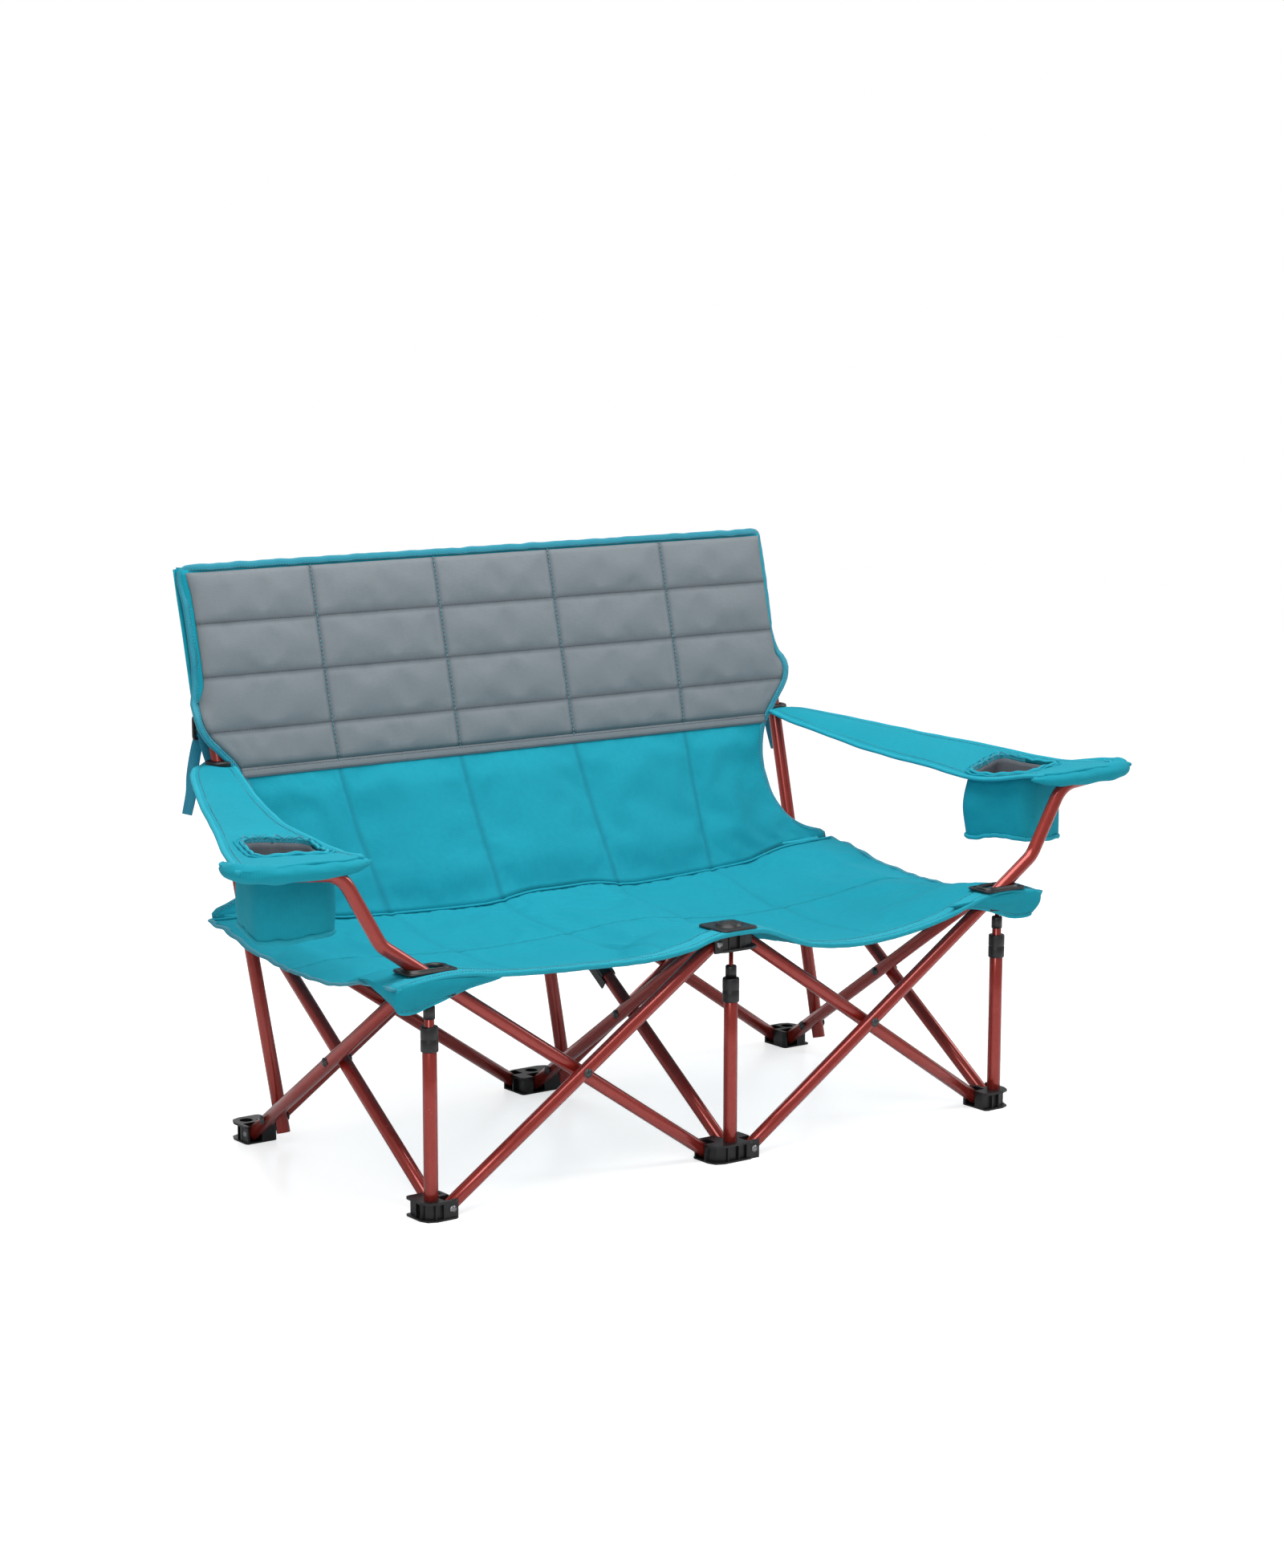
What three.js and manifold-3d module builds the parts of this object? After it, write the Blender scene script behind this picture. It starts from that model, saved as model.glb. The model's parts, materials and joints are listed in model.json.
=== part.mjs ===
// Folding camping loveseat: six feet and six hubs joined by crossed round tubes, so that the whole frame
// gathers into a bundle, with a fabric sling, a quilted back pad, two armrests and two cup holders.
// Millimetres, +X to the right as seen from the front, +Y to the back, +Z up.
import * as THREE from "three";
import { mergeVertices } from "three/addons/utils/BufferGeometryUtils.js";
import Module from "manifold-3d";

const wasm = await Module();
wasm.setup();

// Frame
const bayWidth = 480; // between neighbouring foot columns
const frameDepth = 472; // between the front and the back row of feet
const crossRise = 295; // from a foot pivot up to a hub pivot
const cornerPivotInset = 17; // from a corner foot's centre in to its crosswise pivot
const centrePivotInset = 31; // the same on a centre foot
const tubeDiameter = 19;
const tubeWall = 1.2;
const tubeGap = 0.8; // between the two tubes of a crossed pair
const tubeOverrun = 5; // of a cross tube past its end pivot
const foldTurn = 46; // degrees that every cross tube turns from open to folded
const fit = 0.3; // gap between pieces that touch or slide
const cutOverrun = 8; // by which a cutting tool reaches past what it cuts

// Rivets
const rivetRadius = 2.5;
const rivetPlay = 0.4; // in a drilled tube
const rivetHeadRadius = 4.6;
const rivetHeadHeight = 1.6;
const pinEnd = 1; // by which an end pin shows outside a foot or hub wall

// Feet and hubs share one moulding: a hub is the same shoe turned over
const shoeHeight = 26;
const soleThickness = 2.4;
const flangeThickness = 3.4;
const channelFloorPlay = 1.6; // under a tube, so that its end can swing
const channelSidePlay = 0.4;
const channelWall = 2.8;
const shoeOuterReach = 25; // from the shoe's centre to its outer edges
const shoePivotMargin = 8; // from a pivot to the shoe's inner edge
const hubRearReach = 37; // a back hub reaches further back, round its upright slot
const shoeLobeRadius = 17;
const shoeCornerRadius = 5;
const shoeRecess = 6; // depth of the recess between the flanges
const ribThickness = 1.6;

// Front posts
const postOffset = 6; // a corner post stands this far outward and forward of the foot's centre
const centrePostOffset = 7; // the centre post stands this far forward
const postTop = 240;
const postWall = 1.5;
const collarRadius = 11.6;
const collarBottom = 223;
const collarTop = 256;
const collarGrooveDepth = 0.7;
const midRodDiameter = 13;
const midRodWall = 1;
const midRodBottom = 100;
const capRadius = 7.7;
const capHeight = 17;
const centreCapTop = 273.5;
const cornerCapTop = 283;
const rodDiameter = 6;
const rodBottom = 130;
const rodSeatDepth = 7; // of the thin rod in its hub

// Back uprights
const uprightPinReach = 54; // along the side tube from the back foot's pivot to the upright's pin
const uprightTail = 22; // of the upright below its pin
const uprightHubDistance = 22.5; // behind a back hub's depthwise pivot
const uprightTop = 790;
const uprightGap = 0.6; // between a side tube and the upright beside it
const uprightTopHalfSpan = 505; // of the outer uprights' tops from the centre
const uprightHubTravel = 13; // room that the upright needs behind it in the hub while the frame folds

// Arm tubes: the front cross tubes that rise to the corner hubs run on through them
const armLowerBend = 547; // distance of the lower bend from the centre
const armUpperBendX = 604;
const armUpperBendHeight = 464;
const armEndX = 704;
const armEndHeight = 475;
const armBendRadius = 46;

// Seat plates
const plateThickness = 3;
const plateLength = 92;
const plateWidth = 44;
const centrePlateSize = 62;
const plateCornerRadius = 9;
const plateSlotPlay = 1.5;
const domeRadius = 15;
const domeHeight = 4;

// Tube guide on the middle side tube
const guidePlace = 346; // along the tube from its foot pivot
const guideLength = 26;
const guideCheekLength = 46;
const guideCheekThickness = 2.6;
const guideCheekDepth = 13;
const guideWall = 2.4;

// Fabric
const clothThickness = 2.4;
const seatHalfWidth = 550;
const seatFrontReach = 29; // in front of the front row
const seatJunctionReach = 76; // the seat meets the lower back this far in front of the back row
const seatCornerJunctionReach = 20; // the same at the sides
const seatSplit = 0; // depth at which the seat creases when the frame folds
const frontSag = 30; // of the front edge between two hubs
const seatSag = 30; // along the middle of a bay
const edgeSag = 24; // of the seat's side edges
const sideDroop = 6; // of the cloth outside the hubs
const hubBlend = 95; // over which the cloth falls away from a hub
const junctionGap = 1.4; // between the sling's lower edge and the seat
const junctionDrop = 18; // of the seat's rear edge below the hub tops
const junctionRise = 24; // of that edge towards its ends
const tabReach = 26; // behind the back row, round each outer upright
const tabHalfWidth = 44;
const skirtDrop = 44;
const skirtHalfWidth = 34;
const slingTop = 797;
const backHalfWidth = 512;
const slingLeave = 508; // below this height the sling leaves the uprights
const lowerBackBow = 66; // how far forward of the uprights its foot comes
const lowerBackEdgeShare = 0.85; // by how much less its sides do
const sleeveBottom = 585;
const sleeveTop = 794;
const sleeveWall = 1.6;
const padBottom = 511;
const padMargin = 13; // between the pad's edge and the sling's edge
const padBase = 3;
const padCrown = 13;
const padColumnSteps = 3;
const padRowSteps = 2;

// Armrests and cup holders
const grommetHalfSpan = 496;
const grommetDepth = 286;
const grommetHeight = 523;
const grommetRadius = 11.5;
const armrestThickness = 5;
const armrestFrontHeight = 484;
const armrestSag = 8;
const sleeveRadius = 13.6;
const armSleeveLength = 62; // of the armrest's sleeve over the arm tube's end
const cupHalfSpan = 622;
const cupReach = 128; // behind the arm tube
const cupWidth = 104;
const cupDepth = 108;
const cupCornerRadius = 20;
const cupWall = 3;
const cupBottom = 374;
const cupRimDrop = 2.3; // of the cup holder's rim below the armrest, at its middle
const cupMouthWidth = 90;
const cupMouthDepth = 84;

// Half the back's width from its foot to its top: [share of the height, share of backHalfWidth]
const backOutlineShares = [
  [0, 1.074],
  [0.1, 0.985],
  [0.22, 0.915],
  [0.32, 0.885],
  [0.4, 0.895],
  [0.47, 0.955],
  [0.53, 1.005],
  [0.58, 1.02],
  [0.66, 1.006],
  [0.8, 0.996],
  [1, 0.988],
];

// Armrest edges, from the front back:
// [share of the way from the arm tube to the grommet, inner edge, outer edge],
// the edges as shares of the way from the grommet's side distance to the arm tube's end
const armrestOutlineShares = [
  [-0.03, 0.5, 1.08],
  [0, 0.39, 1.16],
  [0.06, 0.38, 1.18],
  [0.13, 0.42, 1.1],
  [0.26, 0.4, 0.97],
  [0.49, 0.28, 0.72],
  [0.68, 0.13, 0.55],
  [0.82, 0.02, 0.39],
  [0.93, -0.06, 0.26],
  [1, -0.07, 0.18],
  [1.045, -0.065, 0.12],
  [1.068, -0.03, 0.07],
];

// Where the sling's grid lines lie: shares of seatHalfWidth, of each seat half's depth, and of the
// back's height
const seatLineShares = [0, 0.075, 0.17, 0.31, 0.45, 0.6, 0.73, 0.82, 0.92, 1];
const seatFrontLineShares = [0, 0.222, 0.48, 0.74, 1];
const seatRearLineShares = [0, 0.3, 0.6, 0.82, 1];
const backLineShares = [0, 0.1, 0.2, 0.31, 0.415, 0.48, 0.58, 0.66, 0.8, 1];
const backColumnShares = [-1, -0.8, -0.6, -0.4, -0.2, 0, 0.2, 0.4, 0.6, 0.8, 1];

// Seams of the back pad, as shares of its half width and of its height
const padColumnShares = [-1, -0.61, -0.2, 0.2, 0.61, 1];
const armrestColumnShares = [0, 1 / 3, 2 / 3, 1];
const padRowShares = [0, 0.235, 0.505, 0.765, 1];

// Facets
const mergeTolerance = 1e-4;
const tubeSides = 10;
const boreSides = 8;
const pinSides = 6;
const cornerSteps = 2;
const bendSteps = 4;

// Ribs of a shoe, as shares of its width
const ribShares = [0.3, 0.55];
const ribRecessShare = 1 / 3;

// Worked out from the sizes above
const tubeRadius = tubeDiameter / 2;
const slotCornerRadius = tubeRadius / 2;
const tubePlane = (tubeDiameter + tubeGap) / 2; // from a row or column line to a tube's centre
const pivotReach = bayWidth - cornerPivotInset - centrePivotInset;
const depthPivotInset = (frameDepth - pivotReach) / 2;
const footPivotHeight = soleThickness + channelFloorPlay + tubeRadius;
const hubPivotHeight = footPivotHeight + crossRise;
const hubTop = hubPivotHeight + footPivotHeight;
const hubBottom = hubTop - shoeHeight;
const tubeLength = Math.hypot(pivotReach, crossRise);
const tubeCos = pivotReach / tubeLength;
const tubeSin = crossRise / tubeLength;
const frontRow = -frameDepth / 2;
const backRow = frameDepth / 2;
const drillRadius = rivetRadius + rivetPlay;
const channelWidth = tubeDiameter + 2 * channelSidePlay;
const tubeEndSwing = Math.hypot(tubeOverrun, tubeRadius) + fit;
const seatLevel = hubTop + fit + clothThickness / 2;
const uprightPlane = uprightGap + 2 * tubeRadius - tubePlane;
const uprightPinY = backRow - depthPivotInset - uprightPinReach * tubeCos;
const uprightPinZ = footPivotHeight + uprightPinReach * tubeSin;
const uprightHubY = backRow - depthPivotInset + uprightHubDistance;
const uprightSlope = (uprightHubY - uprightPinY) / (hubPivotHeight - uprightPinZ);
const openAngle = Math.atan2(crossRise, pivotReach);
const foldedAngle = openAngle + THREE.MathUtils.degToRad(foldTurn);
// Rise of a hub's pivot over the upright's pin when folded
const foldedHubRise = (tubeLength - uprightPinReach) * Math.sin(foldedAngle);

const redPaint = new THREE.MeshStandardMaterial({ color: 0x9e3a34, roughness: 0.35, metalness: 0.4 });
const blackPlastic = new THREE.MeshStandardMaterial({ color: 0x1c1c20, roughness: 0.55, metalness: 0 });
const darkSteel = new THREE.MeshStandardMaterial({ color: 0x2a2a2c, roughness: 0.4, metalness: 0.8 });
const tealCloth = new THREE.MeshStandardMaterial({ color: 0x26a3c0, roughness: 0.9, metalness: 0 });
const greyCloth = new THREE.MeshStandardMaterial({ color: 0x808890, roughness: 0.9, metalness: 0 });

// Solids: a closed geometry becomes a solid that can be joined and cut
function solidOf(geometry) {
  const bare = geometry.clone();
  bare.deleteAttribute("normal");
  bare.deleteAttribute("uv");
  const merged = mergeVertices(bare, mergeTolerance);
  const mesh = new wasm.Mesh({
    numProp: 3,
    vertProperties: merged.attributes.position.array,
    triVerts: new Uint32Array(merged.index.array),
  });
  return new wasm.Manifold(mesh);
}

function join(...solids) {
  return solids.reduce((whole, piece) => whole.add(piece));
}

function cut(solid, ...tools) {
  return tools.reduce((left, tool) => left.subtract(tool), solid);
}

function geometryOf(solid) {
  const mesh = solid.getMesh();
  const geometry = new THREE.BufferGeometry();
  geometry.setAttribute("position", new THREE.BufferAttribute(mesh.vertProperties, 3));
  geometry.setIndex(new THREE.BufferAttribute(mesh.triVerts, 1));
  geometry.computeVertexNormals();
  return geometry;
}

function points2(pairs) {
  return pairs.map(([x, y]) => new THREE.Vector2(x, y));
}

function prism(outline, low, high) {
  const depth = high - low;
  const geometry = new THREE.ExtrudeGeometry(new THREE.Shape(points2(outline)), { depth, bevelEnabled: false });
  geometry.translate(0, 0, low);
  return solidOf(geometry);
}

// The same, with the outline given in x and z and pushed along y
function standingPrism(outline, near, far) {
  const depth = far - near;
  const geometry = new THREE.ExtrudeGeometry(new THREE.Shape(points2(outline)), { depth, bevelEnabled: false });
  geometry.rotateX(Math.PI / 2);
  geometry.translate(0, far, 0);
  return solidOf(geometry);
}

function rod(from, to, radius, sides = pinSides) {
  const along = new THREE.Vector3().subVectors(to, from);
  const geometry = new THREE.CylinderGeometry(radius, radius, along.length(), sides);
  const upward = new THREE.Vector3(0, 1, 0);
  geometry.applyQuaternion(new THREE.Quaternion().setFromUnitVectors(upward, along.normalize()));
  const middle = from.clone().add(to).divideScalar(2);
  geometry.translate(middle.x, middle.y, middle.z);
  return solidOf(geometry);
}

function hollowTube(from, to, outer, inner) {
  const past = new THREE.Vector3().subVectors(to, from).setLength(cutOverrun);
  const bore = rod(from.clone().sub(past), to.clone().add(past), inner, boreSides);
  return cut(rod(from, to, outer, tubeSides), bore);
}

function turned(profile, x, y, sides = tubeSides) {
  const geometry = new THREE.LatheGeometry(points2(profile), sides);
  geometry.rotateX(Math.PI / 2);
  geometry.translate(x, y, 0);
  return solidOf(geometry);
}

function rectangle(x0, x1, y0, y1, radii) {
  const corners = [
    [x0, y0, 1, 1, radii[0]],
    [x1, y0, -1, 1, radii[1]],
    [x1, y1, -1, -1, radii[2]],
    [x0, y1, 1, -1, radii[3]],
  ];
  return corners.flatMap(([x, y, towardX, towardY, radius], index) => {
    const middleX = x + towardX * radius;
    const middleY = y + towardY * radius;
    return Array.from({ length: cornerSteps + 1 }, (_, step) => {
      const angle = Math.PI * (1 + index / 2) + ((Math.PI / 2) * step) / cornerSteps;
      return [middleX + radius * Math.cos(angle), middleY + radius * Math.sin(angle)];
    });
  });
}

function evenRectangle(x0, x1, y0, y1, radius) {
  return rectangle(x0, x1, y0, y1, [radius, radius, radius, radius]);
}

// A route through given stations, with the section square to it at each one
class Route extends THREE.Curve {
  constructor(stations) {
    super();
    this.stations = stations;
  }
  getPoint(share) {
    const place = share * (this.stations.length - 1);
    const index = Math.min(Math.floor(place), this.stations.length - 2);
    return this.stations[index].clone().lerp(this.stations[index + 1], place - index);
  }
  getPointAt(share) {
    return this.getPoint(share);
  }
  getTangentAt(share) {
    const last = this.stations.length - 1;
    const index = Math.round(share * last);
    const before = this.stations[Math.max(index - 1, 0)];
    const after = this.stations[Math.min(index + 1, last)];
    return after.clone().sub(before).normalize();
  }
}

function bentRod(stations, radius, sides = tubeSides) {
  const disc = Array.from({ length: sides }, (_, side) => {
    const angle = (2 * Math.PI * side) / sides;
    return [radius * Math.cos(angle), radius * Math.sin(angle)];
  });
  const options = { steps: stations.length - 1, extrudePath: new Route(stations) };
  return solidOf(new THREE.ExtrudeGeometry(new THREE.Shape(points2(disc)), options));
}

function bend(before, corner, after, radius) {
  const back = before.clone().sub(corner).normalize();
  const on = after.clone().sub(corner).normalize();
  const reach = radius / Math.tan(back.angleTo(on) / 2);
  const from = corner.clone().addScaledVector(back, reach);
  const to = corner.clone().addScaledVector(on, reach);
  return new THREE.QuadraticBezierCurve3(from, corner, to).getPoints(bendSteps);
}

// A closed sheet between two grids of points of the same size
function sheet(front, back) {
  const rows = front.length;
  const columns = front[0].length;
  const positions = [...front.flat(), ...back.flat()].flatMap((point) => [point.x, point.y, point.z]);
  const index = [];
  const quad = (a, b, c, d) => index.push(a, b, c, a, c, d);
  const at = (side, row, column) => side * rows * columns + row * columns + column;
  for (let row = 0; row + 1 < rows; row++) {
    for (let column = 0; column + 1 < columns; column++) {
      const a = [0, 1].map((side) => at(side, row, column));
      const b = [0, 1].map((side) => at(side, row, column + 1));
      const c = [0, 1].map((side) => at(side, row + 1, column + 1));
      const d = [0, 1].map((side) => at(side, row + 1, column));
      quad(a[0], b[0], c[0], d[0]);
      quad(d[1], c[1], b[1], a[1]);
    }
  }
  for (let row = 0; row + 1 < rows; row++) {
    quad(at(0, row + 1, 0), at(1, row + 1, 0), at(1, row, 0), at(0, row, 0));
    const last = columns - 1;
    quad(at(0, row, last), at(1, row, last), at(1, row + 1, last), at(0, row + 1, last));
  }
  for (let column = 0; column + 1 < columns; column++) {
    quad(at(0, 0, column), at(1, 0, column), at(1, 0, column + 1), at(0, 0, column + 1));
    const last = rows - 1;
    quad(at(0, last, column + 1), at(1, last, column + 1), at(1, last, column), at(0, last, column));
  }
  const geometry = new THREE.BufferGeometry();
  geometry.setAttribute("position", new THREE.Float32BufferAttribute(positions, 3));
  geometry.setIndex(index);
  return solidOf(geometry);
}

function smooth(share) {
  const held = Math.min(Math.max(share, 0), 1);
  return held * held * (3 - 2 * held);
}

// A value from a table of pairs, between its entries on a straight line
function between(table, place) {
  const next = table.findIndex(([at]) => at >= place);
  if (next <= 0) return table[next === 0 ? 0 : table.length - 1][1];
  const [low, lowValue] = table[next - 1];
  const [high, highValue] = table[next];
  return lowValue + ((highValue - lowValue) * (place - low)) / (high - low);
}

const loveseat = new THREE.Group();

function place(name, solid, material) {
  const mesh = new THREE.Mesh(geometryOf(solid), material);
  mesh.name = name;
  loveseat.add(mesh);
}

// Places: a column is -1, 0 or 1 from left to right, a row is -1 in front and 1 behind
const columns = [-1, 0, 1];
const rows = [-1, 1];

function placeName(row, column) {
  const side = ["left", "centre", "right"][column + 1];
  return `${row < 0 ? "front" : "back"}_${side}`;
}

function rowY(row) {
  return (row * frameDepth) / 2;
}

function crossInset(column) {
  return column === 0 ? centrePivotInset : cornerPivotInset;
}

// Every cross tube: where its foot and its hub are, along which axis it runs and in which plane it lies
function crosswise(row, footColumn, hubColumn) {
  const heading = Math.sign(hubColumn - footColumn);
  const y = rowY(row) - heading * tubePlane;
  const footX = footColumn * bayWidth + heading * crossInset(footColumn);
  const hubX = hubColumn * bayWidth - heading * crossInset(hubColumn);
  return {
    name: `tube_${placeName(row, footColumn)}_to_${placeName(row, hubColumn)}`,
    footAt: placeName(row, footColumn),
    hubAt: placeName(row, hubColumn),
    isArm: row < 0 && hubColumn !== 0,
    isDepthwise: false,
    heading,
    plane: y,
    footPivot: new THREE.Vector3(footX, y, footPivotHeight),
    hubPivot: new THREE.Vector3(hubX, y, hubPivotHeight),
    sideways: new THREE.Vector3(0, 1, 0),
  };
}

function depthwise(column, footRow) {
  const heading = -footRow;
  const x = column * bayWidth + heading * tubePlane;
  return {
    name: `tube_${placeName(footRow, column)}_to_${placeName(-footRow, column)}`,
    footAt: placeName(footRow, column),
    hubAt: placeName(-footRow, column),
    isArm: false,
    isDepthwise: true,
    heading,
    plane: x,
    footPivot: new THREE.Vector3(x, rowY(footRow) + heading * depthPivotInset, footPivotHeight),
    hubPivot: new THREE.Vector3(x, rowY(-footRow) - heading * depthPivotInset, hubPivotHeight),
    sideways: new THREE.Vector3(1, 0, 0),
  };
}

const crossTubes = [
  ...rows.flatMap((row) => [
    crosswise(row, -1, 0),
    crosswise(row, 0, -1),
    crosswise(row, 0, 1),
    crosswise(row, 1, 0),
  ]),
  ...columns.flatMap((column) => rows.map((row) => depthwise(column, row))),
];

// Uprights: straight, leaning back, the outer two also spread outward
function upright(column) {
  const foot = column * bayWidth + uprightPlane;
  const top = column === 0 ? foot : column * uprightTopHalfSpan;
  const spread = (top - foot) / (uprightTop - uprightPinZ);
  const at = (z) => {
    const rise = z - uprightPinZ;
    return new THREE.Vector3(foot + spread * rise, uprightPinY + uprightSlope * rise, z);
  };
  return { column, foot, spread, at };
}

const uprights = columns.map(upright);

function uprightCore(column, low, high, radius) {
  const { at } = uprights[column + 1];
  return rod(at(low), at(high), radius, tubeSides);
}

// Arm tube: straight through the hub, up, then outward into the armrest
function armStations(tube, extra) {
  const side = tube.heading;
  const at = (x, z) => new THREE.Vector3(side * x, tube.plane, z);
  const slope = crossRise / pivotReach;
  const run = tube.hubPivot.clone().sub(tube.footPivot).normalize();
  const start = tube.footPivot.clone().addScaledVector(run, -tubeOverrun - extra);
  const hubX = side * tube.hubPivot.x;
  const lower = at(armLowerBend, hubPivotHeight + slope * (armLowerBend - hubX));
  const upper = at(armUpperBendX, armUpperBendHeight);
  const last = at(armEndX, armEndHeight);
  const end = last.clone().add(last.clone().sub(upper).setLength(extra));
  return [start, ...bend(start, lower, upper, armBendRadius), ...bend(lower, upper, last, armBendRadius), end];
}

function makeCrossTube(tube) {
  const run = tube.hubPivot.clone().sub(tube.footPivot).normalize();
  const start = tube.footPivot.clone().addScaledVector(run, -tubeOverrun);
  const end = tube.hubPivot.clone().addScaledVector(run, tubeOverrun);
  const inner = tubeRadius - tubeWall;
  const body = tube.isArm
    ? cut(bentRod(armStations(tube, 0), tubeRadius), bentRod(armStations(tube, cutOverrun), inner, boreSides))
    : hollowTube(start, end, tubeRadius, inner);
  const crossing = tube.footPivot.clone().add(tube.hubPivot).divideScalar(2);
  const drilled = [tube.footPivot, tube.hubPivot, crossing];
  if (tube.isDepthwise && tube.heading < 0) {
    drilled.push(tube.footPivot.clone().addScaledVector(run, uprightPinReach));
  }
  const reach = tubeRadius + cutOverrun;
  const drills = drilled.map((point) => {
    const from = point.clone().addScaledVector(tube.sideways, -reach);
    const to = point.clone().addScaledVector(tube.sideways, reach);
    return rod(from, to, drillRadius);
  });
  return cut(body, ...drills);
}

// A rivet at each crossing, through both tubes of the pair
function makeCrossRivet(tube) {
  const middle = tube.footPivot.clone().add(tube.hubPivot).divideScalar(2);
  middle.addScaledVector(tube.sideways, -Math.sign(middle.dot(tube.sideways) - linePlace(tube)) * tubePlane);
  const grip = tubePlane + tubeRadius + fit;
  const out = (distance) => middle.clone().addScaledVector(tube.sideways, distance);
  return join(
    rod(out(-grip - rivetHeadHeight), out(grip + rivetHeadHeight), rivetRadius),
    rod(out(grip), out(grip + rivetHeadHeight), rivetHeadRadius),
    rod(out(-grip - rivetHeadHeight), out(-grip), rivetHeadRadius),
  );
}

// The row or column line between the two planes of a crossed pair
function linePlace(tube) {
  return tube.plane + (tube.isDepthwise ? -1 : 1) * tube.heading * tubePlane;
}

// A shoe: flanges at both ends, a core between them, and an open channel with a pin for each tube
// that ends here
function makeShoe(isHub, row, column) {
  const centreX = column * bayWidth;
  const centreY = rowY(row);
  const here = placeName(row, column);
  const ends = crossTubes.filter((tube) => (isHub ? tube.hubAt : tube.footAt) === here);
  const level = (z) => (isHub ? hubTop - z : z);
  const layer = (outline, low, high) => {
    const [a, b] = [level(low), level(high)];
    return prism(outline, Math.min(a, b), Math.max(a, b));
  };
  const slot = isHub && row > 0 ? uprightSlot(column) : null;
  const innerX = crossInset(column) + shoePivotMargin;
  const innerY = depthPivotInset + shoePivotMargin;
  const slotReach = slot ? Math.max(Math.abs(slot.x0 - centreX), Math.abs(slot.x1 - centreX)) + channelWall : 0;
  const outerX = column === 0 ? innerX : Math.max(shoeOuterReach, column * row > 0 ? slotReach : 0);
  const outerY = slot ? hubRearReach : shoeOuterReach;
  const bounds = (recess) => {
    const left = column > 0 ? innerX : outerX - recess;
    const right = column < 0 ? innerX : outerX - recess;
    const front = row > 0 ? innerY : outerY - recess;
    const back = row < 0 ? innerY : outerY - recess;
    return [centreX - left, centreX + right, centreY - front, centreY + back];
  };
  const cornerRadius = (onLeft, onFront) => {
    const isOuterX = column === 0 || (onLeft ? column < 0 : column > 0);
    const isOuterY = onFront ? row < 0 : row > 0;
    return isOuterX && isOuterY ? shoeLobeRadius : shoeCornerRadius;
  };
  const radii = [
    cornerRadius(true, true),
    cornerRadius(false, true),
    cornerRadius(false, false),
    cornerRadius(true, false),
  ];
  const outline = rectangle(...bounds(0), radii);
  const core = rectangle(...bounds(shoeRecess), radii);
  const solids = [
    layer(outline, 0, soleThickness),
    layer(outline, shoeHeight - flangeThickness, shoeHeight),
    layer(core, 0, shoeHeight),
  ];
  const tools = [];
  const pins = [];
  for (const tube of ends) {
    const pivot = isHub ? tube.hubPivot : tube.footPivot;
    const inward = isHub ? -tube.heading : tube.heading;
    const inset = tube.isDepthwise ? depthPivotInset : crossInset(column);
    const reach = inset + shoePivotMargin;
    const strip = (from, to, half) => {
      const centre = tube.isDepthwise ? centreY : centreX;
      const [low, high] = [centre + inward * from, centre + inward * to].sort((a, b) => a - b);
      return tube.isDepthwise
        ? evenRectangle(tube.plane - half, tube.plane + half, low, high, 0)
        : evenRectangle(low, high, tube.plane - half, tube.plane + half, 0);
    };
    const start = inset - tubeEndSwing;
    solids.push(layer(strip(start - channelWall, reach, channelWidth / 2 + channelWall), 0, shoeHeight));
    const opening = strip(start, reach + cutOverrun, channelWidth / 2);
    tools.push(layer(opening, soleThickness, shoeHeight + cutOverrun));
    if (tube.isArm && isHub) tools.push(armPassage(tube));
    const half = channelWidth / 2 + channelWall + pinEnd;
    const pinAt = (distance) => pivot.clone().addScaledVector(tube.sideways, distance);
    pins.push(rod(pinAt(-half), pinAt(half), rivetRadius));
  }
  const standX = centreX + column * postOffset;
  const standY = centreY + row * (column === 0 ? centrePostOffset : postOffset);
  const upward = (z) => new THREE.Vector3(standX, standY, z);
  if (!isHub) {
    solids.push(rod(upward(0), upward(shoeHeight), tubeRadius + fit + channelWall, tubeSides));
    tools.push(rod(upward(soleThickness), upward(shoeHeight + cutOverrun), tubeRadius + fit, tubeSides));
  } else if (row < 0) {
    tools.push(rod(upward(hubBottom - cutOverrun), upward(hubBottom + rodSeatDepth), rodDiameter / 2 + fit));
  } else {
    const outline = evenRectangle(slot.x0, slot.x1, slot.y0, slot.y1, slotCornerRadius);
    tools.push(prism(outline, 0, hubTop + cutOverrun));
  }
  solids.push(...shoeRibs(row, column, bounds, layer));
  return join(cut(join(...solids), ...tools), ...pins);
}

// Thin ribs across the recess on the outer faces of a shoe
function shoeRibs(row, column, bounds, layer) {
  const [x0, x1, y0, y1] = bounds(shoeRecess * ribRecessShare);
  const half = ribThickness / 2;
  const ribs = [];
  for (const share of ribShares) {
    const x = x0 + (x1 - x0) * share;
    const y = y0 + (y1 - y0) * share;
    const [near, far] = row < 0 ? [y0, (y0 + y1) / 2] : [(y0 + y1) / 2, y1];
    ribs.push(layer(evenRectangle(x - half, x + half, near, far, 0), 0, shoeHeight));
    if (column === 0) continue;
    const [low, high] = column < 0 ? [x0, (x0 + x1) / 2] : [(x0 + x1) / 2, x1];
    ribs.push(layer(evenRectangle(low, high, y - half, y + half, 0), 0, shoeHeight));
  }
  return ribs;
}

// Room for an upright in its hub, from flat on the ground to folded
function uprightSlot(column) {
  const { at } = uprights[column + 1];
  const open = at(hubPivotHeight);
  const folded = at(uprightPinZ + foldedHubRise);
  const room = tubeRadius + channelSidePlay + fit;
  const lean = (uprightSlope * shoeHeight) / 2 + fit;
  return {
    x0: Math.min(open.x, folded.x) - room,
    x1: Math.max(open.x, folded.x) + room,
    y0: open.y - room - lean,
    y1: open.y + room + lean + uprightHubTravel,
  };
}

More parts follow.
